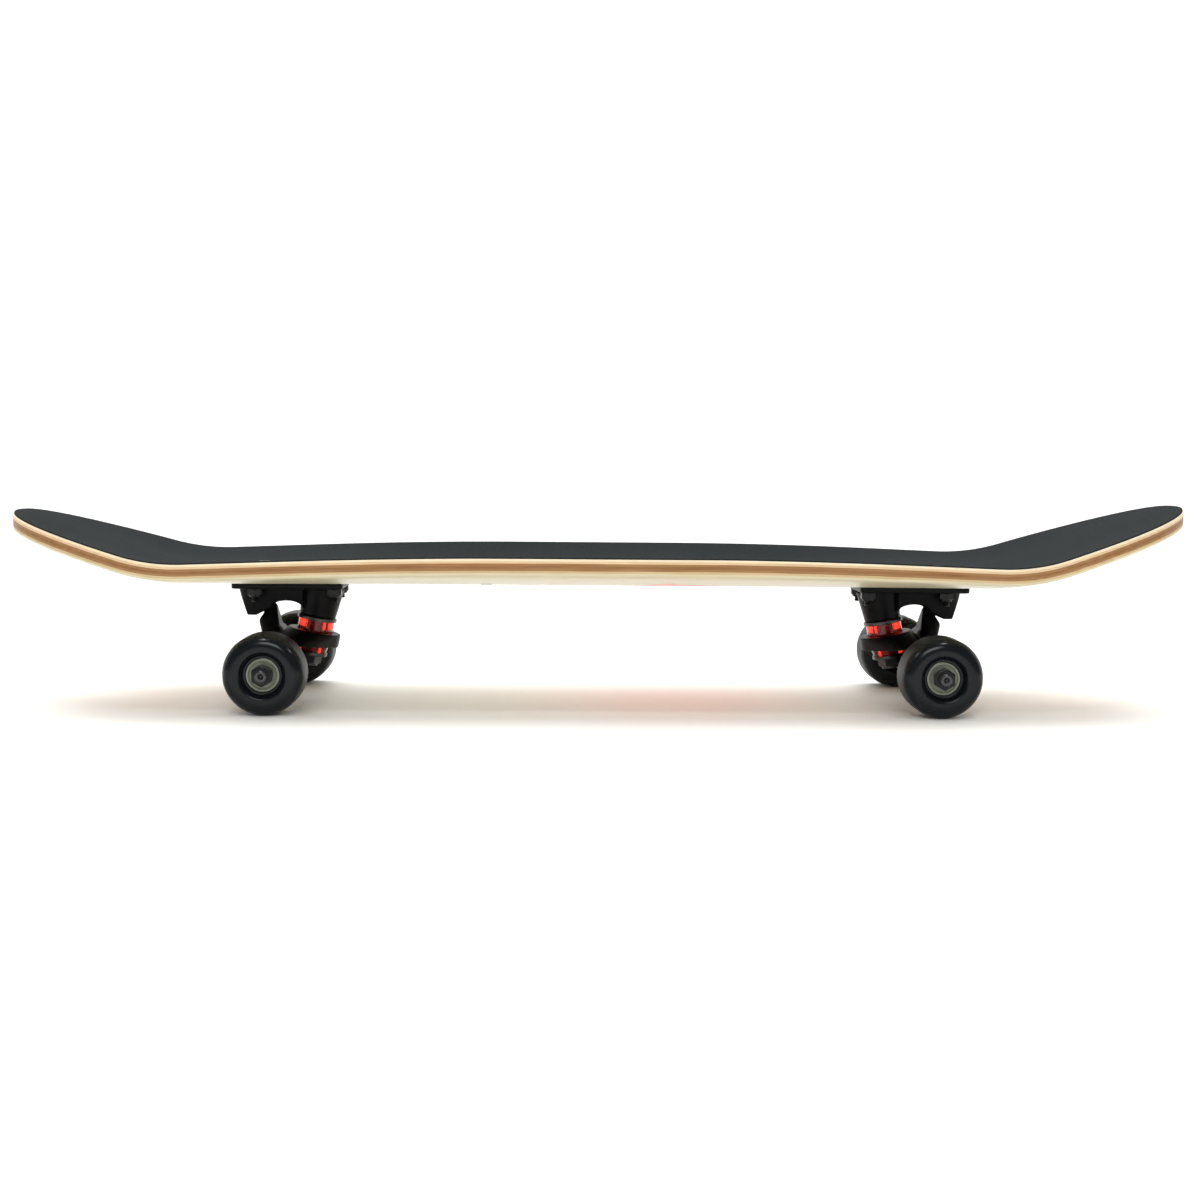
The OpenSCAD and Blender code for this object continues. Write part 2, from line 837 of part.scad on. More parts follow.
wheel(REAR, LEFT);  // rear_left_wheel
wheel(REAR, RIGHT);  // rear_right_wheel
outer_races(FRONT, LEFT);  // front_left_outer_races
outer_races(FRONT, RIGHT);  // front_right_outer_races
outer_races(REAR, LEFT);  // rear_left_outer_races
outer_races(REAR, RIGHT);  // rear_right_outer_races
inner_races(FRONT, LEFT);  // front_left_inner_races
inner_races(FRONT, RIGHT);  // front_right_inner_races
inner_races(REAR, LEFT);  // rear_left_inner_races
inner_races(REAR, RIGHT);  // rear_right_inner_races
bearing_shields(FRONT, LEFT);  // front_left_bearing_shields
bearing_shields(FRONT, RIGHT);  // front_right_bearing_shields
bearing_shields(REAR, LEFT);  // rear_left_bearing_shields
bearing_shields(REAR, RIGHT);  // rear_right_bearing_shields
bearing_balls(FRONT, LEFT);  // front_left_bearing_balls
bearing_balls(FRONT, RIGHT);  // front_right_bearing_balls
bearing_balls(REAR, LEFT);  // rear_left_bearing_balls
bearing_balls(REAR, RIGHT);  // rear_right_bearing_balls
ball_cages(FRONT, LEFT);  // front_left_ball_cages
ball_cages(FRONT, RIGHT);  // front_right_ball_cages
ball_cages(REAR, LEFT);  // rear_left_ball_cages
ball_cages(REAR, RIGHT);  // rear_right_ball_cages
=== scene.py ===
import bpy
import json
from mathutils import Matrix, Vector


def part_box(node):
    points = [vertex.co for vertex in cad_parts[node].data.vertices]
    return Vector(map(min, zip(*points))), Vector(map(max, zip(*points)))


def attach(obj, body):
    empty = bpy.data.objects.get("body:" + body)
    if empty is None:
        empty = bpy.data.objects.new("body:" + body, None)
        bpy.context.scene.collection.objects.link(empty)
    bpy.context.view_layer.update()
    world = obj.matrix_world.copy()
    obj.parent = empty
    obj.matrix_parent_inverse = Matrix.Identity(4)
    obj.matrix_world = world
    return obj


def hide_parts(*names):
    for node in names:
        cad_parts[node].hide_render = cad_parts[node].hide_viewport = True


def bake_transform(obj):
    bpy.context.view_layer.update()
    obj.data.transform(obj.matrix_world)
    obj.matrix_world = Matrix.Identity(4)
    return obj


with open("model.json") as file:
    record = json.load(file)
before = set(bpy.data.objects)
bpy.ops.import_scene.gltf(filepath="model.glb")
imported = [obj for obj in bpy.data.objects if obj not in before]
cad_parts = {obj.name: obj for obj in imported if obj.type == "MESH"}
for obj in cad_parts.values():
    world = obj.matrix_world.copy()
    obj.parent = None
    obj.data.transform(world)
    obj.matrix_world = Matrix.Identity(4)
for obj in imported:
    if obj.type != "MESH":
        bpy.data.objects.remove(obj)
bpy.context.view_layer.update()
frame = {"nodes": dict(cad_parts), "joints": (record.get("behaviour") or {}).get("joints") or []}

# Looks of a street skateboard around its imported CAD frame. Shapes are worked out in millimetres on
# the frame's axes, +X to the nose, +Y to the left side, +Z up, and become meshes in metres in
# Shape.build().

import json
import math

import bmesh
import bpy
import numpy as np
from mathutils import Matrix, Vector

MM = 0.001
TURN = 2 * math.pi

# ---------------------------------------------------------------- sizes from the frame


def node_box(name):
    """Lowest and highest corner of a CAD node, in millimetres."""
    low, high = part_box(name)
    return low / MM, high / MM


ENDS = ("front", "rear")
SIDES = {"left": 1, "right": -1}
JOINTS = {joint["name"]: joint for joint in frame["joints"]}

deck_high = node_box("deck")[1]
plate_high = node_box("front_baseplate")[1]
bolts_high = node_box("front_mounting_bolts")[1]
plate_nuts_low, plate_nuts_high = node_box("front_mounting_nuts")
axle_low, axle_high = node_box("front_axle")
wheel_low, wheel_high = node_box("front_left_wheel")
race_low, race_high = node_box("front_left_outer_races")
washers_high = node_box("front_speed_washers")[1]

HALF_LENGTH = deck_high.x
HALF_WIDTH = deck_high.y
UNDERSIDE = plate_high.z
PLATE_BOTTOM = plate_nuts_high.z
MOUNTING_NUT_HEIGHT = plate_nuts_high.z - plate_nuts_low.z
HEAD_TOP = bolts_high.z
AXLE_RADIUS = (axle_high.z - axle_low.z) / 2
WHEEL_RADIUS = (wheel_high.z - wheel_low.z) / 2
HALF_WHEEL_WIDTH = (wheel_high.y - wheel_low.y) / 2
WHEEL_MIDDLE_Y = (wheel_low.y + wheel_high.y) / 2
RACE_RADIUS = (race_high.z - race_low.z) / 2
BEARING_OUT = race_high.y - WHEEL_MIDDLE_Y
WASHER_OUT = washers_high.y - WHEEL_MIDDLE_Y
RING_CENTRE = Vector(JOINTS["front_steer"]["pos_m"]) / MM

# ---------------------------------------------------------------- design sizes, after the CAD

# Deck and grip tape
PLIES = 7
PLY = 1.5
DECK_THICKNESS = PLIES * PLY
GRIP_THICKNESS = 1.0
GRIP_INSET = 0.8
# The ends are superellipses, a little narrower than the middle
END_NARROWING = 2.1
END_ROUNDNESS = 2.35
NOSE_ROUND, TAIL_ROUND = 152, 147
WIDEN_FROM, WIDEN_TO = 120, 250
# The kicks: how steep they are, where they start and how tightly they bend
NOSE_ANGLE, TAIL_ANGLE = math.radians(20), math.radians(18.5)
NOSE_BEND, TAIL_BEND, BEND_RADIUS = 254, 270, 145
# The concave: how far the sides rise, and where along the deck that fades
CONCAVE_MIDDLE, CONCAVE_ENDS = 10.5, 0.5
FADE_FROM, FADE_TO = 60, 490
FLAT_HALF_WIDTH, RISING_WIDTH = 30, 71.5
# Rounding of the lower and the upper edge
DECK_ROUNDING = (2.2, 0.8)
GRIP_ROUNDING = (0.05, 0.35)
# Spacing of the outline's points, and rings of faces between it and the middle line
OUTLINE_SPACING = 4.0
SLAB_RINGS = 22
# Prints on the underside: how far they reach from it, and the gap that keeps them off it
PRINT_THICKNESS = 0.06
PRINT_GAP = PRINT_THICKNESS * 0.2

# Mounting bolts with countersunk heads and hexagon sockets, and their nuts
BOLT_RADIUS, BOLT_HOLE_RADIUS, BOLT_HEAD_RADIUS = 2.4, 2.6, 4.7
BOLT_SPACING_X, BOLT_SPACING_Y = 53.98, 41.28
BOLT_PITCH, BOLT_THREAD = 0.8, 13
BOLT_HEAD_RIM, HEAD_GAP = 0.6, 0.15
HEAD_SEAT = HEAD_TOP - BOLT_HEAD_RIM
HEAD_CONE = (BOLT_HEAD_RADIUS - BOLT_RADIUS) / math.tan(math.radians(41))
SOCKET_FLATS, SOCKET_MOUTH, SOCKET_DEPTH, SOCKET_POINT = 3.2, 2.25, 2.2, 2.6
MOUNTING_NUT_FLATS, MOUNTING_NUT_COLLAR = 9.5, 1.4

# Kingpin and its nut, cup washers and bushings, about the middle of the hanger's ring
KINGPIN_LEAN = math.radians(11)
KINGPIN_RADIUS = 4.76
KINGPIN_FLATS, KINGPIN_HEAD, KINGPIN_HEAD_HEIGHT = 14.3, 31, 5.5
KINGPIN_NUT_HEIGHT, KINGPIN_NUT_COLLAR, KINGPIN_PAST_CUP = 7, 1.6, 6.2
RING_SEAT = 3
BUSHING_BORE, BUSHING_RADIUS = 5.0, 12.2
BOARDSIDE_HEIGHT = 10.5
ROADSIDE_RADIUS, ROADSIDE_END_RADIUS, ROADSIDE_HEIGHT = 11.8, 10, 8.5
CUP_THICKNESS, CUP_SKIRT, CUP_OVERHANG = 1.2, 1.4, 1.3

# Axles, their nuts and washers, wheels and bearings
AXLE_THREAD, COARSE_PITCH = 15, 1.06
AXLE_NUT_FLATS, AXLE_NUT_HEIGHT, AXLE_NUT_COLLAR = 12.7, 6.5, 1.5
SPEED_WASHER_RADIUS = 5.6
WHEEL_CORE_RADIUS, WHEEL_MOUTH_RADIUS, WHEEL_BORE_RADIUS = 12.6, 15.0, 9.4
WHEEL_LIP, WHEEL_EDGE = 2.4, 8
BEARING_WIDTH, BEARING_BORE = 7, 4.0
INNER_RACE_RADIUS, OUTER_RACE_BORE = 6.0, 9.35
BALL_CIRCLE, GROOVE_RADIUS = 7.5, 2.03


def smooth(t):
    """Eases from 0 to 1."""
    c = np.clip(t, 0, 1)
    return c * c * (3 - 2 * c)


def kick_rise(x):
    """Rise of the deck's middle line and its slope: an arc from the bend on, then straight."""
    past = np.maximum(0, np.maximum(x - NOSE_BEND, -x - TAIL_BEND))
    angle = np.where(x > 0, NOSE_ANGLE, TAIL_ANGLE)
    arc = BEND_RADIUS * np.sin(angle)
    on_arc = np.minimum(past, arc)
    rise = BEND_RADIUS - np.sqrt(BEND_RADIUS**2 - on_arc**2) + (past - on_arc) * np.tan(angle)
    slope = on_arc / np.sqrt(BEND_RADIUS**2 - on_arc**2)
    return rise, slope


def side_rise(x, y):
    """Rise of the deck's sides over its middle line and its slope."""
    fade = smooth((np.abs(x) - FADE_FROM) / (FADE_TO - FADE_FROM))
    depth = CONCAVE_ENDS + (CONCAVE_MIDDLE - CONCAVE_ENDS) * (1 - fade)
    run = np.maximum(0, np.abs(y) - FLAT_HALF_WIDTH) / RISING_WIDTH
    return depth * run**2, 2 * depth * run / RISING_WIDTH


def layer_height(x, y, depth):
    """Height of the deck's layer that lies depth above its underside."""
    rise, slope = kick_rise(x)
    side, side_slope = side_rise(x, y)
    return UNDERSIDE + rise + side + depth * np.sqrt(1 + slope**2 + side_slope**2)


# ---------------------------------------------------------------- building meshes


class Shape:
    """Points in millimetres and faces, gathered from the parts of one piece."""

    def __init__(self):
        self.points = []
        self.faces = []
        self.slots = []

    def add(self, points, faces, place=None, slot=0):
        """Adds a part at place. slot is its material's number, or one for each face."""
        start = len(self.points)
        if place is not None:
            points = [place @ Vector(p) for p in points]
        self.points += [tuple(p) for p in points]
        self.faces += [[start + i for i in face] for face in faces]
        self.slots += list(slot) if isinstance(slot, (list, tuple)) else [slot] * len(faces)
        return self

    def build(self, name, materials, sharp=30, place=None):
        """The piece, standing at place, a matrix in millimetres, if its points are its own."""
        mesh = bpy.data.meshes.new(name)
        mesh.from_pydata([Vector(p) * MM for p in self.points], [], self.faces)
        for m in materials:
            mesh.materials.append(m)
        mesh.polygons.foreach_set("material_index", self.slots)
        mesh.shade_smooth()
        mesh.set_sharp_from_angle(angle=math.radians(sharp))
        piece = bpy.data.objects.new(name, mesh)
        if place is not None:
            at = Matrix.Translation(place.to_translation() * MM)
            piece.matrix_world = at @ place.to_3x3().to_4x4()
        bpy.context.scene.collection.objects.link(piece)
        return piece


def fit(piece, body, finish, *stands_for):
    """The piece rides on a body and stands for CAD nodes. finish is not used."""
    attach(piece, body)
    if stands_for:
        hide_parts(*stands_for)
    return piece


def rounded(corners, steps=4):
    """A closed outline with each corner (x, y, radius) rounded off."""
    outline = []
    for k, (x, y, radius) in enumerate(corners):
        here = Vector((x, y))
        if radius == 0:
            outline.append(here)
            continue
        before = (Vector(corners[k - 1][:2]) - here).normalized()
        after = (Vector(corners[(k + 1) % len(corners)][:2]) - here).normalized()
        half = before.angle(after) / 2
        start = here + before * (radius / math.tan(half))
        centre = here + (before + after).normalized() * (radius / math.sin(half))
        sweep = (math.pi - 2 * half) * math.copysign(1, before.cross(after) * -1)
        for i in range(steps + 1):
            turn = Matrix.Rotation(sweep * i / steps, 2)
            outline.append(centre + turn @ (start - centre))
    return outline


def lathe(profile, segments=96, bend=None):
    """Turns a closed profile of (radius, height), anticlockwise, about Z.
    bend(angle, radius, height) gives the radius at that angle."""
    points, rings, faces = [], [], []
    for radius, height in profile:
        if radius < 1e-6:
            rings.append([len(points)] * segments)
            points.append((0, 0, height))
            continue
        rings.append([len(points) + j for j in range(segments)])
        for j in range(segments):
            angle = TURN * j / segments
            r = bend(angle, radius, height) if bend else radius
            points.append((r * math.cos(angle), r * math.sin(angle), height))
    for k, low in enumerate(rings):
        high = rings[(k + 1) % len(rings)]
        for j in range(segments):
            i = (j + 1) % segments
            face = list(dict.fromkeys([low[j], low[i], high[i], high[j]]))
            if len(face) > 2:
                faces.append(face)
    return points, faces


def hexagon(flats):
    """Bends a turned ring to a hexagon wherever the ring is wider than the hexagon."""
    def bend(angle, radius, height):
        sector = (angle + TURN / 12) % (TURN / 6) - TURN / 12
        return min(radius, flats / 2 / math.cos(sector))
    return bend


# ---------------------------------------------------------------- placing


def along_kingpin(end):
    """+Z runs up the kingpin from the middle of the hanger's ring."""
    truck = Matrix.Identity(4) if end == "front" else Matrix.Rotation(math.pi, 4, "Z")
    return truck @ Matrix.Translation(RING_CENTRE) @ Matrix.Rotation(-KINGPIN_LEAN, 4, "Y")


def at_wheel(end, side):
    """+Z runs outwards along the axle from the middle of the wheel."""
    low, high = node_box(f"{end}_{side}_wheel")
    outwards = Matrix.Rotation(-math.pi / 2 * SIDES[side], 4, "X")
    return Matrix.Translation((low + high) / 2) @ outwards


def bolt_places(end):
    """The four mounting bolts of a truck."""
    low, high = node_box(f"{end}_mounting_bolts")
    middle = (low + high) / 2
    across, aside = BOLT_SPACING_X / 2, BOLT_SPACING_Y / 2
    return [
        Matrix.Translation((middle.x + i * across, middle.y + j * aside, 0))
        for i in (-1, 1)
        for j in (-1, 1)
    ]


# ---------------------------------------------------------------- deck


def outline(spacing):
    """Points around the deck's edge, evenly spaced, from the nose tip over the left side."""
    power = 2 / END_ROUNDNESS

    def end_curve(reach):
        angle = np.linspace(0, math.pi / 2, 200)
        flank = np.linspace(reach + 1, WIDEN_TO + 1, 60)
        s = np.concatenate([reach * (1 - np.cos(angle) ** power), flank])
        across = HALF_WIDTH - END_NARROWING
        y = np.concatenate([across * np.sin(angle) ** power, np.full(len(flank), across)])
        return s, y + END_NARROWING * smooth((s - WIDEN_FROM) / (WIDEN_TO - WIDEN_FROM))

    nose_s, nose_y = end_curve(NOSE_ROUND)
    tail_s, tail_y = end_curve(TAIL_ROUND)
    x = np.concatenate([HALF_LENGTH - nose_s, (tail_s - HALF_LENGTH)[::-1]])
    y = np.concatenate([nose_y, tail_y[::-1]])
    length = np.concatenate([[0], np.cumsum(np.hypot(np.diff(x), np.diff(y)))])
    count = round(length[-1] / spacing)
    at = np.linspace(0, length[-1], count + 1)
    left = np.stack([np.interp(at, length, x), np.interp(at, length, y)], 1)
    right = left[-2:0:-1] * [1, -1]
    return np.concatenate([left, right])


def inset_outline(points, inset):
    """The outline moved inwards, square to itself."""
    along = np.roll(points, -1, 0) - np.roll(points, 1, 0)
    inward = np.stack([-along[:, 1], along[:, 0]], 1)
    return points + inward / np.linalg.norm(inward, axis=1)[:, None] * inset


def spine_share(points, share):
    """The outline drawn in towards the deck's middle line: all of it at 1 and the line at 0."""
    spine = np.clip(points[:, 0], TAIL_ROUND - HALF_LENGTH, HALF_LENGTH - NOSE_ROUND)
    spine = np.stack([spine, np.zeros(len(points))], 1)
    return spine + (points - spine) * share


def slab(edge, low, high, low_round, high_round, cuts, rings, slots):
    """A closed slab of the curved deck between two layers, its edges rounded. cuts are the depths
    where its side is divided, and slots gives the material of a face from its middle depth."""
    shares = np.linspace(0, 1, rings + 1)
    arcs = np.sin(np.linspace(0, math.pi / 2, 5))
    curves = [low + low_round * (1 - arcs), high - high_round * (1 - arcs)]
    depths = sorted({low, high, *cuts, *curves[0], *curves[1]})
    rows = []
    inner = inset_outline(edge, low_round)
    rows += [(spine_share(inner, s), low) for s in shares[:-1]]
    for depth in depths:
        up = min(low_round, max(0, low + low_round - depth))
        down = min(high_round, max(0, depth - high + high_round))
        inset = low_round - math.sqrt(low_round**2 - up**2)
        inset += high_round - math.sqrt(high_round**2 - down**2)
        rows.append((inset_outline(edge, inset), depth))
    inner = inset_outline(edge, high_round)
    rows += [(spine_share(inner, s), high) for s in shares[-2::-1]]
    points, faces, face_slots = [], [], []
    count = len(edge)
    for flat, depth in rows:
        z = layer_height(flat[:, 0], flat[:, 1], depth)
        points += [(p[0], p[1], h) for p, h in zip(flat, z)]
    for r in range(len(rows) - 1):
        slot = slots((rows[r][1] + rows[r + 1][1]) / 2)
        for k in range(count):
            n = (k + 1) % count
            faces.append([r * count + k, r * count + n, (r + 1) * count + n, (r + 1) * count + k])
            face_slots.append(slot)
    return points, faces, face_slots


def weld(piece):
    """Joins the points that fall together on the middle line and drops faces without area."""
    grid = bmesh.new()
    grid.from_mesh(piece.data)
    bmesh.ops.remove_doubles(grid, verts=grid.verts, dist=0.02 * MM)
    bmesh.ops.dissolve_degenerate(grid, edges=grid.edges, dist=0.01 * MM)
    grid.to_mesh(piece.data)
    grid.free()
    return piece


# ---------------------------------------------------------------- materials


class Nodes:
    """Short calls to make a material's nodes. A value may be a number, a colour or a socket."""

    def __init__(self, name):
        self.material = bpy.data.materials.new(name)
        self.material.use_nodes = True
        self.tree = self.material.node_tree
        self.shader = self.tree.nodes["Principled BSDF"]

    def node(self, kind, inputs=None, **settings):
        """A new node with values for its inputs and its settings."""
        made = self.tree.nodes.new(kind)
        for key, value in settings.items():
            setattr(made, key, value)
        for key, value in (inputs or {}).items():
            self.feed(made.inputs[key], value)
        return made

    def feed(self, socket, value):
        if isinstance(value, bpy.types.NodeSocket):
            self.tree.links.new(value, socket)
        elif isinstance(value, (tuple, list)) and len(value) == 3 and socket.type == "RGBA":
            socket.default_value = (*value, 1)
        else:
            socket.default_value = value

    def place(self, scale=(1, 1, 1)):
        """The piece's own coordinates in metres, stretched by scale."""
        where = self.node("ShaderNodeTexCoord").outputs["Object"]
        return self.node("ShaderNodeMapping", {"Vector": where, "Scale": scale}).outputs[0]

    def about_axis(self, where):
        """The distance from the piece's Z axis, and a place that is the same all round it."""
        x, y, z = self.node("ShaderNodeSeparateXYZ", {"Vector": where}).outputs
        squares = self.math("ADD", self.math("MULTIPLY", x, x), self.math("MULTIPLY", y, y))
        radius = self.math("SQRT", squares)
        return radius, self.node("ShaderNodeCombineXYZ", {"X": radius, "Z": z}).outputs[0]

    def noise(self, where, scale, detail=3, roughness=0.55, distortion=0):
        inputs = {"Vector": where, "Scale": scale, "Detail": detail, "Roughness": roughness}
        inputs["Distortion"] = distortion
        return self.node("ShaderNodeTexNoise", inputs).outputs["Fac"]

    def cells(self, where, scale):
        inputs = {"Vector": where, "Scale": scale}
        return self.node("ShaderNodeTexVoronoi", inputs).outputs["Distance"]

    def ramp(self, fac, *stops):
        """stops are (position, colour or grey)."""
        made = self.node("ShaderNodeValToRGB", {"Fac": fac})
        band = made.color_ramp
        while len(band.elements) < len(stops):
            band.elements.new(0.5)
        for element, (at, colour) in zip(band.elements, stops):
            element.position = at
            element.color = (*colour, 1) if isinstance(colour, tuple) else (colour,) * 3 + (1,)
        return made.outputs["Color"]

    def mix(self, fac, a, b, blend="MIX"):
        """a where fac is 0 and b where it is 1, or another blend of the two."""
        made = self.node("ShaderNodeMix", data_type="RGBA", blend_type=blend)
        self.feed(made.inputs[0], fac)
        self.feed(made.inputs[6], a)
        self.feed(made.inputs[7], b)
        return made.outputs[2]

    def math(self, operation, a, b=0.0):
        return self.node("ShaderNodeMath", {0: a, 1: b}, operation=operation).outputs[0]

    def scaled(self, value, low, high):
        """value, from 0 to 1, spread between low and high."""
        inputs = {"Value": value, "To Min": low, "To Max": high}
        return self.node("ShaderNodeMapRange", inputs).outputs[0]

    def bump(self, height, distance, strength):
        inputs = {"Height": height, "Distance": distance, "Strength": strength}
        return self.node("ShaderNodeBump", inputs).outputs[0]

    def set(self, **inputs):
        """Feeds the shader's sockets, named with _ for a space."""
        for key, value in inputs.items():
            self.feed(self.shader.inputs[key.replace("_", " ")], value)
        return self.material


def grip_material():
    """Black abrasive grit, each grain a little different."""
    n = Nodes("grip_grit")
    where = n.place()
    grain = n.cells(where, 900)
    fine = n.noise(where, 1500, 2)
    cloud = n.noise(where, 9, 4)
    speck = n.ramp(grain, (0.0, 0.036), (0.25, 0.017), (0.7, 0.007))
    tint = n.mix(n.scaled(cloud, 0, 1), (0.010, 0.013, 0.0135), (0.018, 0.0215, 0.022))
    colour = n.mix(0.5, tint, speck, "ADD")
    height = n.math("ADD", n.math("MULTIPLY", grain, -1.0), n.math("MULTIPLY", fine, 0.6))
    return n.set(
        Base_Color=colour,
        Roughness=0.95,
        Specular_IOR_Level=0.06,
        Normal=n.bump(height, 0.0004, 0.8),
    )


def veneer_material(name, pale, deep, lacquer):
    """Maple veneer with its grain along X. Only the underside is lacquered."""
    n = Nodes(name)
    long = n.place((1, 14, 14))
    drift = n.noise(n.place((1, 5, 5)), 4, 3)
    grain = n.noise(long, 30, 5, 0.6, 0.4)
    fibre = n.noise(n.place((3, 160, 160)), 10, 3)
    fleck = n.noise(n.place((12, 90, 90)), 9, 2)
    tone = n.mix(n.ramp(grain, (0.35, 0.0), (0.68, 1.0)), pale, deep)
    tone = n.mix(n.scaled(drift, 0, 0.35), tone, deep)
    tone = n.mix(n.ramp(fibre, (0.4, 0.12), (0.6, 0.0)), tone, (0.55, 0.38, 0.17))
    tone = n.mix(n.ramp(fleck, (0.72, 0.0), (0.78, 0.35)), tone, (0.28, 0.16, 0.07))
    height = n.math("ADD", grain, fibre)
    n.set(
        Base_Color=tone,
        Roughness=n.scaled(grain, 0.34, 0.46),
        Normal=n.bump(height, 0.00006, 0.4),
    )
    if lacquer:
        return n.set(Coat_Weight=0.4, Coat_Roughness=0.22)
    return n.set(Specular_IOR_Level=0.15)


def cast_paint():
    """Satin black paint over the slightly uneven skin of an aluminium casting."""
    n = Nodes("cast_black_paint")
    where = n.place()
    peel = n.noise(where, 900, 2)
    skin = n.noise(where, 160, 3)
    cloud = n.noise(where, 45, 3)
    height = n.math("ADD", n.math("MULTIPLY", peel, 0.4), skin)
    return n.set(
        Base_Color=n.mix(cloud, (0.0018, 0.0020, 0.0025), (0.0040, 0.0042, 0.0048)),
        Roughness=n.scaled(cloud, 0.30, 0.44),
        Specular_IOR_Level=0.11,
        Normal=n.bump(height, 0.00012, 0.5),
    )


def metal(name, dark, light, rough, turned=False, metallic=1.0):
    """A metal in two tones. A turned one has fine rings about the piece's own Z axis."""
    n = Nodes(name)
    where = n.place()
    cloud = n.noise(where, 220, 4, 0.6)
    if turned:
        rings = n.about_axis(where)[1]
        height = n.noise(rings, 5200, 2)
        cloud = n.mix(0.5, cloud, n.noise(rings, 1500, 2))
    else:
        height = n.noise(where, 2200, 2)
    return n.set(
        Base_Color=n.mix(cloud, dark, light),
        Metallic=metallic,
        Roughness=n.scaled(cloud, rough - 0.07, rough + 0.08),
        Normal=n.bump(height, 0.00006 if turned else 0.00003, 0.4),
    )


def wheel_urethane():
    """Glossy cast sides and a tread that is ground a little duller."""
    n = Nodes("wheel_urethane")
    where = n.place()
    radius, rings = n.about_axis(where)
    cloud = n.noise(where, 90, 4, 0.6)
    low, high = (WHEEL_RADIUS - 0.6) * MM, (WHEEL_RADIUS - 0.1) * MM
    inputs = {"Value": radius, "From Min": low, "From Max": high}
    tread = n.node("ShaderNodeMapRange", inputs).outputs[0]
    ground = n.noise(rings, 2600, 3)
    swirl = n.noise(where, 25, 2)
    rough = n.math("ADD", n.scaled(cloud, 0.14, 0.22), n.math("MULTIPLY", tread, 0.3))
    height = n.math("ADD", n.math("MULTIPLY", tread, ground), n.math("MULTIPLY", swirl, 0.3))
    return n.set(
        Base_Color=n.mix(cloud, (0.0035, 0.0045, 0.006), (0.008, 0.010, 0.012)),
        Roughness=rough,
        Specular_IOR_Level=0.2,
        Normal=n.bump(height, 0.00004, 0.5),
    )


def red_urethane():
    """Clear red urethane that lets the kingpin show darkly through its middle."""
    n = Nodes("bushing_urethane")
    where = n.place()
    cloud = n.noise(where, 120, 3)
    return n.set(
        Base_Color=n.mix(cloud, (0.90, 0.045, 0.026), (0.98, 0.075, 0.042)),
        Roughness=n.scaled(cloud, 0.06, 0.14),
        Transmission_Weight=0.9,
        IOR=1.4,
    )


def moulded(name, dark, light, rough):
    """A plain moulded plastic or rubber."""
    n = Nodes(name)
    where = n.place()
    cloud = n.noise(where, 150, 3)
    return n.set(
        Base_Color=n.mix(cloud, dark, light),
        Roughness=n.scaled(cloud, rough - 0.06, rough + 0.06),
        Normal=n.bump(n.noise(where, 1200, 3), 0.00006, 0.5),
    )


def ink(name, dark, light):
    """Printed film over the veneer: the grain shows faintly, with a few pin holes."""
    n = Nodes(name)
    where = n.place((1, 14, 14))
    grain = n.noise(where, 30, 5, 0.6, 0.4)
    fleck = n.noise(n.place((6, 60, 60)), 14, 2)
    tone = n.mix(grain, dark, light)
    tone = n.mix(n.ramp(fleck, (0.74, 0.0), (0.80, 0.25)), tone, tuple(c * 0.45 for c in dark))
    return n.set(
        Base_Color=tone,
        Roughness=n.scaled(grain, 0.3, 0.42),
        Coat_Weight=0.35,
        Coat_Roughness=0.2,
        Normal=n.bump(grain, 0.00004, 0.4),
    )


# ---------------------------------------------------------------- deck pieces

# Pale and deep tone of each veneer, from the underside up
VENEERS = [
    ((0.70, 0.65, 0.47), (0.64, 0.575, 0.375)),
    ((0.66, 0.52, 0.31), (0.53, 0.38, 0.20)),
    ((0.38, 0.205, 0.095), (0.28, 0.135, 0.055)),
    ((0.31, 0.150, 0.062), (0.22, 0.096, 0.036)),
    ((0.37, 0.195, 0.088), (0.27, 0.130, 0.052)),
    ((0.80, 0.60, 0.38), (0.66, 0.45, 0.26)),
    ((0.90, 0.80, 0.60), (0.80, 0.67, 0.46)),
]


def bolt_cutter():
    """The openings of all eight bolts, through the deck and the tape."""
    below, above = UNDERSIDE - 2, HEAD_TOP + 3
    profile = [
        (0, below),
        (BOLT_HOLE_RADIUS, below),
        (BOLT_HOLE_RADIUS, HEAD_SEAT - HEAD_CONE),
        (BOLT_HEAD_RADIUS + HEAD_GAP, HEAD_SEAT),
        (BOLT_HEAD_RADIUS + HEAD_GAP, above),
        (0, above),
    ]
    shape = Shape()
    for end in ENDS:
        for place in bolt_places(end):
            shape.add(*lathe(profile, 40), place)
    return shape.build("bolt_cutter", [])


def cut_bolts(*pieces):
    """Opens the pieces for the bolts."""
    cutter = bolt_cutter()
    for piece in pieces:
        cut = piece.modifiers.new("bolt holes", "BOOLEAN")
        cut.operation = "DIFFERENCE"
        cut.object = cutter
        cut.solver = "EXACT"
        settle(piece)
    bpy.data.objects.remove(cutter)


def settle(piece):
    """Applies the piece's modifiers to its mesh."""
    bpy.context.view_layer.update()
    ready = piece.evaluated_get(bpy.context.evaluated_depsgraph_get())
    mesh = bpy.data.meshes.new_from_object(ready)
    piece.modifiers.clear()
    piece.data = mesh
    return piece


def slab_piece(name, materials, parts):
    """A named piece from slab()'s points, faces and the faces' materials."""
    points, faces, slots = parts
    return weld(Shape().add(points, faces, None, slots).build(name, materials, 40))


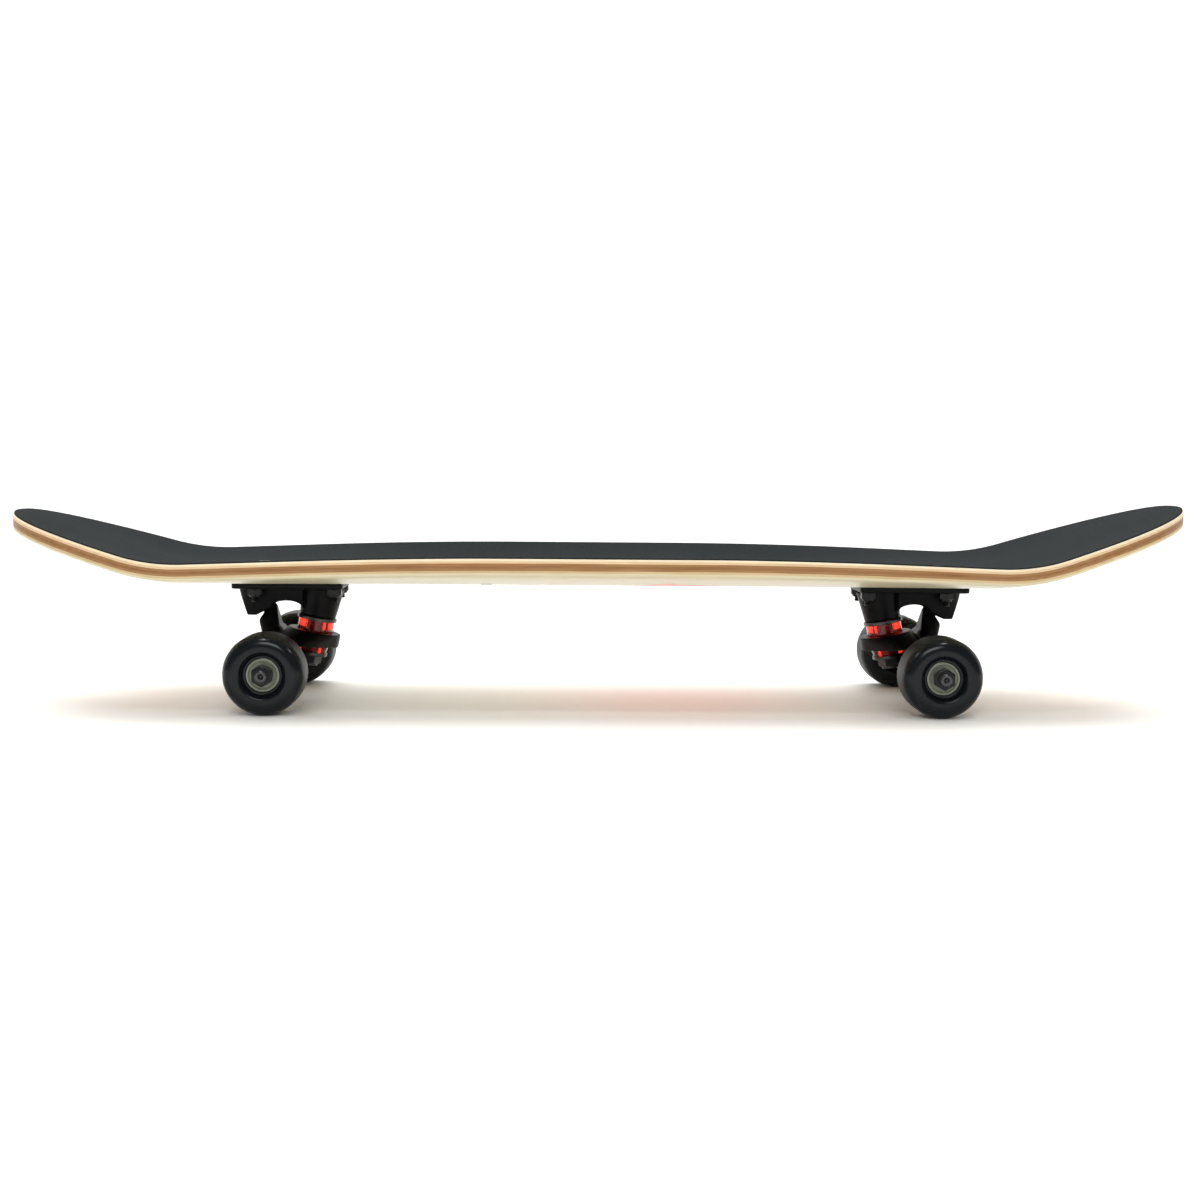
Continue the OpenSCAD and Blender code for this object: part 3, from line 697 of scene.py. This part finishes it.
def deck_pieces():
    """The deck with a material for each veneer, and the grip sheet on it."""
    edge = outline(OUTLINE_SPACING)
    cuts = [PLY * k for k in range(1, PLIES)]
    plies = [
        veneer_material(f"veneer_{k + 1}", pale, deep, k == 0)
        for k, (pale, deep) in enumerate(VENEERS)
    ]

    def ply_at(depth):
        return min(PLIES - 1, int(depth / PLY))

    parts = slab(edge, 0, DECK_THICKNESS, *DECK_ROUNDING, cuts, SLAB_RINGS, ply_at)
    deck = slab_piece("deck_laminate", plies, parts)

    top = DECK_THICKNESS + GRIP_THICKNESS
    edge = inset_outline(edge, GRIP_INSET)
    parts = slab(edge, DECK_THICKNESS, top, *GRIP_ROUNDING, [], SLAB_RINGS, lambda depth: 0)
    grip = slab_piece("grip_sheet", [grip_material()], parts)

    cut_bolts(deck, grip)
    fit(deck, "board", "deck_wood", "deck")
    fit(grip, "board", "grip_tape", "grip_tape")


# ---------------------------------------------------------------- printed leaves and bars


def printed(patches):
    """Patches of (x, y) grid points laid on the deck's underside, just proud of it."""
    shape = Shape()
    for grid in patches:
        across, along = grid.shape[0], grid.shape[1]
        x, y = grid[..., 0].ravel(), grid[..., 1].ravel()
        points = []
        for depth in (-PRINT_THICKNESS, -PRINT_GAP):
            points += list(zip(x, y, layer_height(x, y, depth)))
        count = across * along
        cells = [i * along + j for i in range(across - 1) for j in range(along - 1)]
        under = [[c, c + 1, c + along + 1, c + along] for c in cells]
        faces = under + [[count + i for i in reversed(face)] for face in under]
        rim = list(range(along))
        rim += [i * along + along - 1 for i in range(1, across)]
        rim += [(across - 1) * along + j for j in range(along - 2, -1, -1)]
        rim += [i * along for i in range(across - 2, 0, -1)]
        for k, a in enumerate(rim):
            b = rim[(k + 1) % len(rim)]
            faces.append([b, a, count + a, count + b])
        shape.add(points, faces)
    return shape


VEINS = 7
# Share of the midrib that carries veins, and how far forward and how curved they sweep
VEINED_SHARE, VEIN_SWEEP, VEIN_CURVE = 0.985, 0.30, 0.85
# Half the bare strip of a vein at the midrib, as a share of the leaf's length, and how it thins
VEIN_GAP, VEIN_THINNING = 0.0085, 0.75
# Half the bare strip of the midrib, as a share of the stem's width
MIDRIB_SHARE = 0.28
# The margin's fullness near the stem and near the tip, and its low teeth
BASE_FULLNESS, TIP_FULLNESS = 0.66, 0.82
TOOTH_DEPTH, TEETH_PER_VEIN = 0.045, 1.15
STEM_GAP, STEM_FLARE = 1.0, 0.25


def leaf(base_x, direction, length, half_width, stem, stem_width):
    """A plain ovate leaf with a bare midrib and side veins. It points along X in direction."""
    patches = []

    def margin(t):
        """Half the leaf's width at a share t of its length."""
        tooth = 1 - TOOTH_DEPTH * (1 - np.abs(2 * ((t * VEINS * TEETH_PER_VEIN) % 1) - 1))
        return half_width * np.sin(np.pi * t**BASE_FULLNESS) ** TIP_FULLNESS * tooth

    def vein(s, u):
        """A point a share u out along the side vein that starts at a share s of the midrib."""
        tip = s + VEIN_SWEEP * (1 - s) * u**VEIN_CURVE
        reach = margin(s + VEIN_SWEEP * (1 - s))
        return s + (tip - s) * u, u * reach

    for side in (-1, 1):
        for k in range(VEINS):
            low = k / VEINS * VEINED_SHARE
            high = (k + 1) / VEINS * VEINED_SHARE
            s = np.linspace(0, 1, 9)[:, None]
            u = np.linspace(0, 1, 25)[None, :]
            gap = VEIN_GAP * (1 - VEIN_THINNING * u)
            share = (low + gap) * (1 - s) + (high - gap) * s
            t, y = vein(share, u)
            rib = stem_width * MIDRIB_SHARE * (1 - t)
            y = y * (1 - rib / half_width) + rib
            grid = np.stack([base_x + direction * t * length, side * y], -1)
            if side * direction < 0:
                grid = grid[::-1]
            patches.append(grid)
    x = np.linspace(-stem, -STEM_GAP, 14)[:, None]
    width = stem_width / 2 * (1 + STEM_FLARE * ((-x - STEM_GAP) / stem) ** 2)
    v = np.linspace(-1, 1, 5)[None, :]
    grid = np.broadcast_arrays(base_x + direction * x, direction * width * v)
    patches.append(np.stack(grid, -1))
    return patches


def bar_patch(x, width, length):
    """A plain bar across the board."""
    u = np.linspace(-1, 1, 5)[:, None]
    v = np.linspace(-1, 1, 31)[None, :]
    return np.stack(np.broadcast_arrays(x + u * width / 2, v * length / 2), -1)


def print_pieces():
    """Leaves and bars printed on the deck's underside."""
    orange = ink("orange_print", (0.93, 0.10, 0.004), (1.0, 0.135, 0.008))
    black = ink("black_print", (0.012, 0.012, 0.013), (0.02, 0.02, 0.021))
    # Leaves: base, direction, length, half width, stem, stem's width. Bars: place, width, length.
    made = {
        "middle_leaf_print": (leaf(-5, 1, 130, 74, 40, 7), orange),
        "nose_leaf_print": (leaf(337, -1, 62, 38, 15, 3.4), orange),
        "tail_leaf_print": (leaf(-330, 1, 62, 38, 15, 3.4), orange),
        "wide_bar_print": ([bar_patch(-78, 7, 131)], black),
        "short_bar_print": ([bar_patch(-104.5, 7, 85)], black),
    }
    for name, (patches, colour) in made.items():
        fit(printed(patches).build(name, [colour], 60), "board", "deck_wood")


# ---------------------------------------------------------------- castings


def melted(node, voxel, passes):
    """A casting: the CAD solid with its edges melted round. Its mesh is in the frame's place."""
    piece = bpy.data.objects.new(f"{node}_casting", frame["nodes"][node].data.copy())
    bpy.context.scene.collection.objects.link(piece)
    grid = bmesh.new()
    grid.from_mesh(piece.data)
    bmesh.ops.remove_doubles(grid, verts=grid.verts, dist=0.001 * MM)
    grid.to_mesh(piece.data)
    grid.free()
    remesh = piece.modifiers.new("voxels", "REMESH")
    remesh.mode = "VOXEL"
    remesh.voxel_size = voxel * MM
    soften = piece.modifiers.new("soften", "SMOOTH")
    soften.factor = 0.5
    soften.iterations = passes
    settle(piece)
    piece.data.materials.clear()
    piece.data.shade_smooth()
    return piece


def casting_pieces():
    """Baseplates and hangers. The rear ones are the front ones turned about the middle."""
    for part, body, voxel in (("baseplate", "board", 0.45), ("hanger", "{}_steering", 0.5)):
        front = melted(f"front_{part}", voxel, 10)
        front.data.materials.append(CAST)
        rear = bpy.data.objects.new(f"rear_{part}_casting", front.data.copy())
        rear.data.transform(Matrix.Rotation(math.pi, 4, "Z"))
        bpy.context.scene.collection.objects.link(rear)
        for end, piece in (("front", front), ("rear", rear)):
            fit(piece, body.format(end), "truck_black", f"{end}_{part}")


# ---------------------------------------------------------------- hardware


ROWS_PER_TURN = 5
THREAD_DEPTH = 0.55


def thread_rows(radius, low, high, pitch):
    """Profile rows of a threaded stretch, close enough for the thread's shape."""
    count = round((high - low) / pitch * ROWS_PER_TURN)
    return [(radius, low + (high - low) * k / count) for k in range(count + 1)]


def thread(radius, low, high, pitch, then=None):
    """Bends the rows of a cylinder between two heights into a screw thread."""
    depth = THREAD_DEPTH * pitch

    def bend(angle, r, height):
        if then is not None:
            r = then(angle, r, height)
        if abs(r - radius) > 0.01 or not low <= height <= high:
            return r
        turn = (height / pitch - angle / TURN) % 1
        fade = min(1, (height - low) / pitch, (high - height) / pitch)
        return r - depth * fade * (1 - abs(2 * turn - 1))
    return bend


# A nut's chamfered face and the ring that holds its nylon, as shares of its width over flats
NUT_FACE, NUT_RING, NUT_CHAMFER = 0.485, 0.42, math.radians(30)


def nut(flats, height, bore, collar):
    """A hexagonal lock nut from z = 0 up: its metal, then its nylon ring."""
    corner = flats / 2 / math.cos(TURN / 12)
    face = flats * NUT_FACE
    slope = (corner - face) * math.tan(NUT_CHAMFER)
    body = height - collar
    ring = flats * NUT_RING
    steps = [k / 5 for k in range(6)]
    profile = [(bore + 0.5, 0), (face, 0)]
    profile += [(face + (corner - face) * t, slope * t) for t in steps[1:]]
    profile += [(face + (corner - face) * t, body - slope * t) for t in reversed(steps[1:])]
    profile += [(face, body), (ring, body + 0.05)]
    profile += [(ring, height - 0.7), (ring - 0.2, height - 0.25), (ring - 0.7, height)]
    # The groove for the nylon, 0.95 wide, then the threaded bore
    profile += [(bore + 1.0, height), (bore + 0.95, height - 0.35), (bore + 0.95, height - 1.8)]
    profile += [(bore, height - 1.9), (bore, 0.5)]
    nylon = rounded([
        (bore + 0.02, height - 1.85, 0.1), (bore + 0.93, height - 1.85, 0.1),
        (bore + 0.93, height - 0.45, 0.2), (bore + 0.02, height - 0.45, 0.4),
    ])
    return lathe(profile, 96, hexagon(flats)), lathe(nylon, 48)


def add_nut(shape, place, *sizes):
    """Adds a nut, its metal in the first material and its nylon in the second."""
    metal_part, nylon_part = nut(*sizes)
    shape.add(*metal_part, place)
    shape.add(*nylon_part, place, 1)


def mounting_pieces(end):
    """The four mounting bolts of a truck and their nuts."""
    bolts, nuts = Shape(), Shape()
    low = node_box(f"{end}_mounting_bolts")[0].z
    thread_from, thread_to = low + 0.4, low + BOLT_THREAD
    socket_radius = SOCKET_FLATS / 2 / math.cos(TURN / 12)
    profile = [(0, low), (BOLT_RADIUS - 0.5, low)]
    profile += thread_rows(BOLT_RADIUS, thread_from, thread_to, BOLT_PITCH)
    profile += [
        (BOLT_RADIUS, HEAD_SEAT - HEAD_CONE),
        (BOLT_HEAD_RADIUS - 0.1, HEAD_SEAT - 0.1),
        (BOLT_HEAD_RADIUS, HEAD_SEAT),
        (BOLT_HEAD_RADIUS, HEAD_TOP - 0.2),
        (BOLT_HEAD_RADIUS - 0.2, HEAD_TOP),
        (SOCKET_MOUTH, HEAD_TOP),
        (socket_radius, HEAD_TOP - 0.25),
        (socket_radius, HEAD_TOP - SOCKET_DEPTH),
        (0, HEAD_TOP - SOCKET_POINT),
    ]
    socket = hexagon(SOCKET_FLATS)

    def in_socket(angle, r, height):
        return socket(angle, r, height) if r <= socket_radius else r

    bend = thread(BOLT_RADIUS, thread_from, thread_to, BOLT_PITCH, in_socket)
    flip = Matrix.Translation((0, 0, PLATE_BOTTOM)) @ Matrix.Rotation(math.pi, 4, "X")
    sizes = MOUNTING_NUT_FLATS, MOUNTING_NUT_HEIGHT, BOLT_RADIUS + 0.02, MOUNTING_NUT_COLLAR
    for place in bolt_places(end):
        bolts.add(*lathe(profile, 48, bend), place)
        add_nut(nuts, place @ flip, *sizes)
    bolts = bolts.build(f"{end}_deck_bolts", [BLACK_OXIDE])
    nuts = nuts.build(f"{end}_deck_nuts", [BLACK_OXIDE, NYLON])
    fit(bolts, "board", "black_hardware", f"{end}_mounting_bolts")
    fit(nuts, "board", "black_hardware", f"{end}_mounting_nuts")


def kingpin_pieces(end):
    """A truck's kingpin, its lock nut and the two cup washers, about the ring's middle."""
    place = along_kingpin(end)
    head = KINGPIN_HEAD
    top = head + KINGPIN_HEAD_HEIGHT
    nut_at = -(RING_SEAT + ROADSIDE_HEIGHT + CUP_THICKNESS)
    tip = nut_at - KINGPIN_PAST_CUP
    corner = KINGPIN_FLATS / 2 / math.cos(TURN / 12)
    profile = [(0, tip), (KINGPIN_RADIUS - 0.9, tip)]
    profile += thread_rows(KINGPIN_RADIUS, tip + 0.6, nut_at + 2, COARSE_PITCH)
    profile += [(KINGPIN_RADIUS, head), (corner, head), (corner, top - 0.7), (6.9, top), (0, top)]
    head_shape = hexagon(KINGPIN_FLATS)
    bend = thread(KINGPIN_RADIUS, tip + 0.6, nut_at + 2, COARSE_PITCH, head_shape)
    turn = Matrix.Rotation(TURN / 12, 4, "Z")
    pin = Shape().add(*lathe(profile, 96, bend), turn)
    pin = pin.build(f"{end}_kingpin_bolt", [PLATED], place=place)
    fit(pin, "board", "kingpin_steel", f"{end}_kingpin")

    lock = Shape()
    down = Matrix.Translation((0, 0, nut_at)) @ Matrix.Rotation(math.pi, 4, "X") @ turn
    sizes = KINGPIN_FLATS, KINGPIN_NUT_HEIGHT, KINGPIN_RADIUS + 0.02, KINGPIN_NUT_COLLAR
    add_nut(lock, down, *sizes)
    lock = lock.build(f"{end}_kingpin_lock_nut", [PLATED, NYLON], place=place)
    fit(lock, "board", "kingpin_steel", f"{end}_kingpin_nut")

    for part, radius, at, flip in (
        ("boardside", BUSHING_RADIUS, RING_SEAT + BOARDSIDE_HEIGHT, False),
        ("roadside", ROADSIDE_END_RADIUS, -RING_SEAT - ROADSIDE_HEIGHT, True),
    ):
        inner, wall, outer = KINGPIN_RADIUS + 0.1, radius + 0.1, radius + CUP_OVERHANG
        cup = rounded([
            (inner, 0.02, 0.15), (wall, 0.02, 0), (wall, -CUP_SKIRT, 0.3),
            (outer, -CUP_SKIRT, 0.3), (outer, CUP_THICKNESS - 0.02, 0.9),
            (inner, CUP_THICKNESS - 0.02, 0.15),
        ])
        stand = Matrix.Translation((0, 0, at))
        if flip:
            stand = stand @ Matrix.Rotation(math.pi, 4, "X")
        washer = Shape().add(*lathe(cup, 96), stand)
        washer = washer.build(f"{end}_{part}_cup", [PLATED], place=place)
        fit(washer, "board", "kingpin_steel", f"{end}_{part}_washer")


def bushing_pieces(end):
    """The two bushings squeeze between the board's washers and the hanger's ring."""
    place = along_kingpin(end)
    top, low = RING_SEAT + BOARDSIDE_HEIGHT, -RING_SEAT - ROADSIDE_HEIGHT
    barrel = rounded([
        (BUSHING_BORE, RING_SEAT, 0.3), (BUSHING_RADIUS, RING_SEAT, 1.3),
        (BUSHING_RADIUS, top, 1.3), (BUSHING_BORE, top, 0.3),
    ], 6)
    cone = rounded([
        (BUSHING_BORE, low, 0.3), (ROADSIDE_END_RADIUS, low, 1.0),
        (ROADSIDE_RADIUS, -RING_SEAT, 1.3), (BUSHING_BORE, -RING_SEAT, 0.3),
    ], 6)
    for part, profile, board_z in (("boardside", barrel, top), ("roadside", cone, low)):
        rows = []
        for a, b in zip(profile, profile[1:] + profile[:1]):
            steps = max(1, round(abs(b[1] - a[1]) / 1.5))
            shares = [k / steps for k in range(steps)]
            rows += [(a[0] + (b[0] - a[0]) * t, a[1] + (b[1] - a[1]) * t) for t in shares]
        piece = Shape().add(*lathe(rows, 96), place).build(f"{end}_{part}_urethane", [RED])
        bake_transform(piece)
        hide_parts(f"{end}_{part}_bushing")


def axle_pieces(end):
    """A truck's axle with the nuts and washers that hold its wheels."""
    low, high = node_box(f"{end}_axle")
    place = Matrix.Translation((low + high) / 2) @ Matrix.Rotation(-math.pi / 2, 4, "X")
    body = f"{end}_steering"
    half = (high.y - low.y) / 2
    thread_from, thread_to = half - AXLE_THREAD, half - 0.6
    # The ends have a centre hole, and are alike
    end_rows = [(0, half - 1.7), (0.5, half - 1.7), (2.1, half), (AXLE_RADIUS - 0.8, half)]
    end_rows += reversed(thread_rows(AXLE_RADIUS, thread_from, thread_to, COARSE_PITCH))
    profile = [(r, -z) for r, z in end_rows] + end_rows[::-1]
    outer = thread(AXLE_RADIUS, thread_from, thread_to, COARSE_PITCH)
    both = thread(AXLE_RADIUS, -thread_to, -thread_from, COARSE_PITCH, outer)
    rod = Shape().add(*lathe(profile, 64, both)).build(f"{end}_axle_rod", [PLATED], place=place)
    fit(rod, body, "axle_steel", f"{end}_axle")

    nuts, washers = Shape(), Shape()
    nut_sizes = AXLE_NUT_FLATS, AXLE_NUT_HEIGHT, AXLE_RADIUS + 0.02, AXLE_NUT_COLLAR
    thick, bore = WASHER_OUT - BEARING_OUT, AXLE_RADIUS + 0.05
    for side in SIDES.values():
        flip = Matrix.Identity(4) if side > 0 else Matrix.Rotation(math.pi, 4, "X")
        wheel = flip @ Matrix.Translation((0, 0, WHEEL_MIDDLE_Y))
        add_nut(nuts, wheel @ Matrix.Translation((0, 0, WASHER_OUT)), *nut_sizes)
        for at in (BEARING_OUT, -WASHER_OUT):
            flat = rounded([
                (bore, at, 0.08), (SPEED_WASHER_RADIUS, at, 0.12),
                (SPEED_WASHER_RADIUS, at + thick, 0.12), (bore, at + thick, 0.08),
            ])
            washers.add(*lathe(flat, 64), wheel)
    nuts = nuts.build(f"{end}_wheel_nuts", [BLACK_OXIDE, NYLON], place=place)
    washers = washers.build(f"{end}_washers", [TURNED], place=place)
    fit(nuts, body, "black_hardware", f"{end}_axle_nuts")
    fit(washers, body, "axle_steel", f"{end}_speed_washers")


# ---------------------------------------------------------------- wheels and bearings


def both_bearings(profile):
    """A turned part of each of a wheel's two bearings, about the bearing's own middle."""
    shape = Shape()
    middle = BEARING_OUT - BEARING_WIDTH / 2
    for at, turn in ((middle, 0), (-middle, math.pi)):
        stand = Matrix.Translation((0, 0, at)) @ Matrix.Rotation(turn, 4, "X")
        shape.add(*lathe(profile, 96), stand)
    return shape


def ball_groove(side, reach, steps):
    """Rows of the ball groove, towards side, up from -reach to reach."""
    rows = np.linspace(-reach, reach, steps)
    return [(BALL_CIRCLE + side * math.sqrt(GROOVE_RADIUS**2 - z**2), z) for z in rows]


def wheel_pieces(end, side):
    """A tyre and the races and shields of its two bearings."""
    place = at_wheel(end, side)
    name = f"{end}_{side}"
    rolling, steering = f"{name}_rolling", f"{end}_steering"
    seat, face, half = BEARING_OUT - BEARING_WIDTH, BEARING_OUT + 0.4, HALF_WHEEL_WIDTH
    outside = [
        (RACE_RADIUS, face, 0.3), (WHEEL_CORE_RADIUS, face, 0.7),
        (WHEEL_MOUTH_RADIUS, half, WHEEL_LIP), (WHEEL_RADIUS, half, WHEEL_EDGE),
    ]
    corners = [(r, -z, q) for r, z, q in outside] + outside[::-1]
    corners += [
        (RACE_RADIUS, seat, 0), (WHEEL_BORE_RADIUS, seat, 0.2),
        (WHEEL_BORE_RADIUS, -seat, 0.2), (RACE_RADIUS, -seat, 0),
    ]
    tyre = Shape().add(*lathe(rounded(corners, 10), 144))
    tyre = tyre.build(f"{name}_tyre", [URETHANE], place=place)
    fit(tyre, rolling, "wheel_urethane", f"{name}_wheel")

    h = BEARING_WIDTH / 2
    outer = rounded([
        (OUTER_RACE_BORE, -h, 0.15), (RACE_RADIUS, -h, 0.45),
        (RACE_RADIUS, h, 0.45), (OUTER_RACE_BORE, h, 0.15),
    ])
    outer += ball_groove(1, 0.83, 7)[::-1]
    inner = rounded([
        (INNER_RACE_RADIUS, h, 0.12), (BEARING_BORE, h, 0.35),
        (BEARING_BORE, -h, 0.35), (INNER_RACE_RADIUS, -h, 0.12),
    ])
    inner += ball_groove(-1, 1.36, 9)
    # A pressed plate with a lip inside and a clipped rim, 0.45 deep in all
    at, rim = h - 0.25, OUTER_RACE_BORE - 0.01
    plate = rounded([
        (6.3, at - 0.45, 0.05), (rim, at - 0.45, 0.05), (rim, at, 0.12), (8.95, at, 0.1),
        (8.75, at - 0.18, 0.1), (6.9, at - 0.18, 0.1), (6.7, at - 0.05, 0.1), (6.3, at - 0.05, 0.1),
    ])
    shields = both_bearings(plate)
    back = both_bearings([(r, -z) for r, z in reversed(plate)])
    shields.add(back.points, back.faces)
    outer = both_bearings(outer).build(f"{name}_outer_rings", [BEARING], place=place)
    inner = both_bearings(inner).build(f"{name}_inner_rings", [BEARING], place=place)
    shields = shields.build(f"{name}_shields", [SHIELD], place=place)
    fit(outer, rolling, "bearing_steel", f"{name}_outer_races")
    fit(inner, steering, "bearing_steel", f"{name}_inner_races")
    fit(shields, rolling, "bearing_shield", f"{name}_bearing_shields")


# ---------------------------------------------------------------- the whole board

CAST = cast_paint()
OXIDE_TONES = (0.010, 0.010, 0.011), (0.026, 0.026, 0.027)
BLACK_OXIDE = metal("black_oxide", *OXIDE_TONES, 0.36, metallic=0.7)
NYLON = moulded("nylon_ring", (0.020, 0.020, 0.022), (0.035, 0.035, 0.038), 0.5)
PLATED = metal("dark_plate", (0.05, 0.05, 0.052), (0.11, 0.11, 0.112), 0.32, turned=True)
TURNED = metal("turned_steel", (0.13, 0.13, 0.125), (0.22, 0.22, 0.21), 0.32, turned=True)
BEARING = metal("bearing_steel", (0.13, 0.135, 0.11), (0.22, 0.225, 0.185), 0.28, turned=True)
SHIELD = metal("bearing_shield", (0.115, 0.125, 0.098), (0.19, 0.202, 0.16), 0.38, turned=True)
RUBBER = moulded("pivot_urethane", (0.016, 0.016, 0.017), (0.03, 0.03, 0.031), 0.6)
CAGE = moulded("bearing_cage", (0.30, 0.26, 0.16), (0.40, 0.35, 0.22), 0.45)
RED = red_urethane()
URETHANE = wheel_urethane()

deck_pieces()
print_pieces()
casting_pieces()
for end in ENDS:
    mounting_pieces(end)
    kingpin_pieces(end)
    bushing_pieces(end)
    axle_pieces(end)
    for side in SIDES:
        wheel_pieces(end, side)

# The CAD nodes that still show have the right shape already, and take a better material.
CAD_FINISHES = {
    "pivot_cup": RUBBER, "bearing_spacers": TURNED, "bearing_balls": BEARING, "ball_cages": CAGE,
}
for node_name, node in frame["nodes"].items():
    if not node.hide_render:
        finish = next(m for part, m in CAD_FINISHES.items() if node_name.endswith(part))
        node.data.materials.clear()
        node.data.materials.append(finish)

# ---------------------------------------------------------------- stage, light and camera


FLOOR_HALF = 12.0 / MM
CAMERA_PLACE = (-0.0362, -1.2539, 0.1732)
CAMERA_LENS = 54.27
CAMERA_PITCH, CAMERA_YAW, CAMERA_ROLL = (math.radians(a) for a in (-4.751, -1.606, 0.508))


def stage():
    """A pale floor, and a studio that is brighter behind the board than in front of it."""
    corners = [(-1, -1), (1, -1), (1, 1), (-1, 1)]
    points = [(x * FLOOR_HALF, y * FLOOR_HALF, 0) for x, y in corners]
    n = Nodes("pale_floor")
    cloud = n.noise(n.place(), 3, 2)
    n.set(Base_Color=n.mix(cloud, (0.90, 0.90, 0.88), (0.92, 0.92, 0.90)), Roughness=0.6)
    Shape().add(points, [[0, 1, 2, 3]]).build("floor", [n.material])

    world = bpy.data.worlds.new("studio")
    world.use_nodes = True
    tree = world.node_tree
    where = tree.nodes.new("ShaderNodeTexCoord")
    split = tree.nodes.new("ShaderNodeSeparateXYZ")
    band = tree.nodes.new("ShaderNodeMapRange")
    band.interpolation_type = "SMOOTHSTEP"
    spread = {"From Min": -0.25, "From Max": 0.5, "To Min": 0.22, "To Max": 1.25}
    for name, value in spread.items():
        band.inputs[name].default_value = value
    tree.links.new(where.outputs["Generated"], split.inputs[0])
    tree.links.new(split.outputs["Y"], band.inputs["Value"])
    # The backdrop itself is white from every side
    path = tree.nodes.new("ShaderNodeLightPath")
    white = tree.nodes.new("ShaderNodeMath")
    white.operation = "MAXIMUM"
    tree.links.new(band.outputs[0], white.inputs[0])
    tree.links.new(path.outputs["Is Camera Ray"], white.inputs[1])
    sky = tree.nodes["Background"]
    sky.inputs["Color"].default_value = (1.0, 1.0, 0.99, 1)
    tree.links.new(white.outputs[0], sky.inputs["Strength"])
    bpy.context.scene.world = world


def lamp(name, kind, towards, power, at=(0, 0, 0)):
    """A light that shines in the direction towards, and gives its data back."""
    data = bpy.data.lights.new(name, kind)
    data.energy = power
    light = bpy.data.objects.new(name, data)
    light.location = at
    light.rotation_mode = "QUATERNION"
    light.rotation_quaternion = Vector(towards).to_track_quat("-Z", "Y")
    bpy.context.scene.collection.objects.link(light)
    return data


def softbox(name, at, aim, size, power):
    """A rectangular light at a place, aimed at another."""
    box = lamp(name, "AREA", Vector(aim) - Vector(at), power, at)
    box.shape = "RECTANGLE"
    box.size, box.size_y = size


def camera():
    """The side view, from a little above the deck."""
    data = bpy.data.cameras.new("camera")
    data.sensor_width = 36
    data.lens = CAMERA_LENS
    made = bpy.data.objects.new("camera", data)
    made.location = CAMERA_PLACE
    made.rotation_mode = "QUATERNION"
    yaw = Matrix.Rotation(CAMERA_YAW, 3, "Z")
    pitch = Matrix.Rotation(math.pi / 2 + CAMERA_PITCH, 3, "X")
    roll = Matrix.Rotation(CAMERA_ROLL, 3, "Z")
    made.rotation_quaternion = (yaw @ pitch @ roll).to_quaternion()
    bpy.context.scene.collection.objects.link(made)
    bpy.context.scene.camera = made


stage()
lamp("overhead", "SUN", (0.05, -0.4, -1), 2.6).angle = math.radians(60)
softbox("left_box", (-0.27, -0.26, 0.5), (-0.2, -0.05, 0.03), (0.07, 0.07), 0.35)
softbox("right_box", (0.30, -0.26, 0.5), (0.2, -0.05, 0.03), (0.07, 0.07), 0.35)
softbox("front_box", (-0.1, -2.2, 1.5), (0, 0, 0.08), (1.2, 0.8), 22)
camera()
bpy.context.scene.view_settings.view_transform = "Standard"
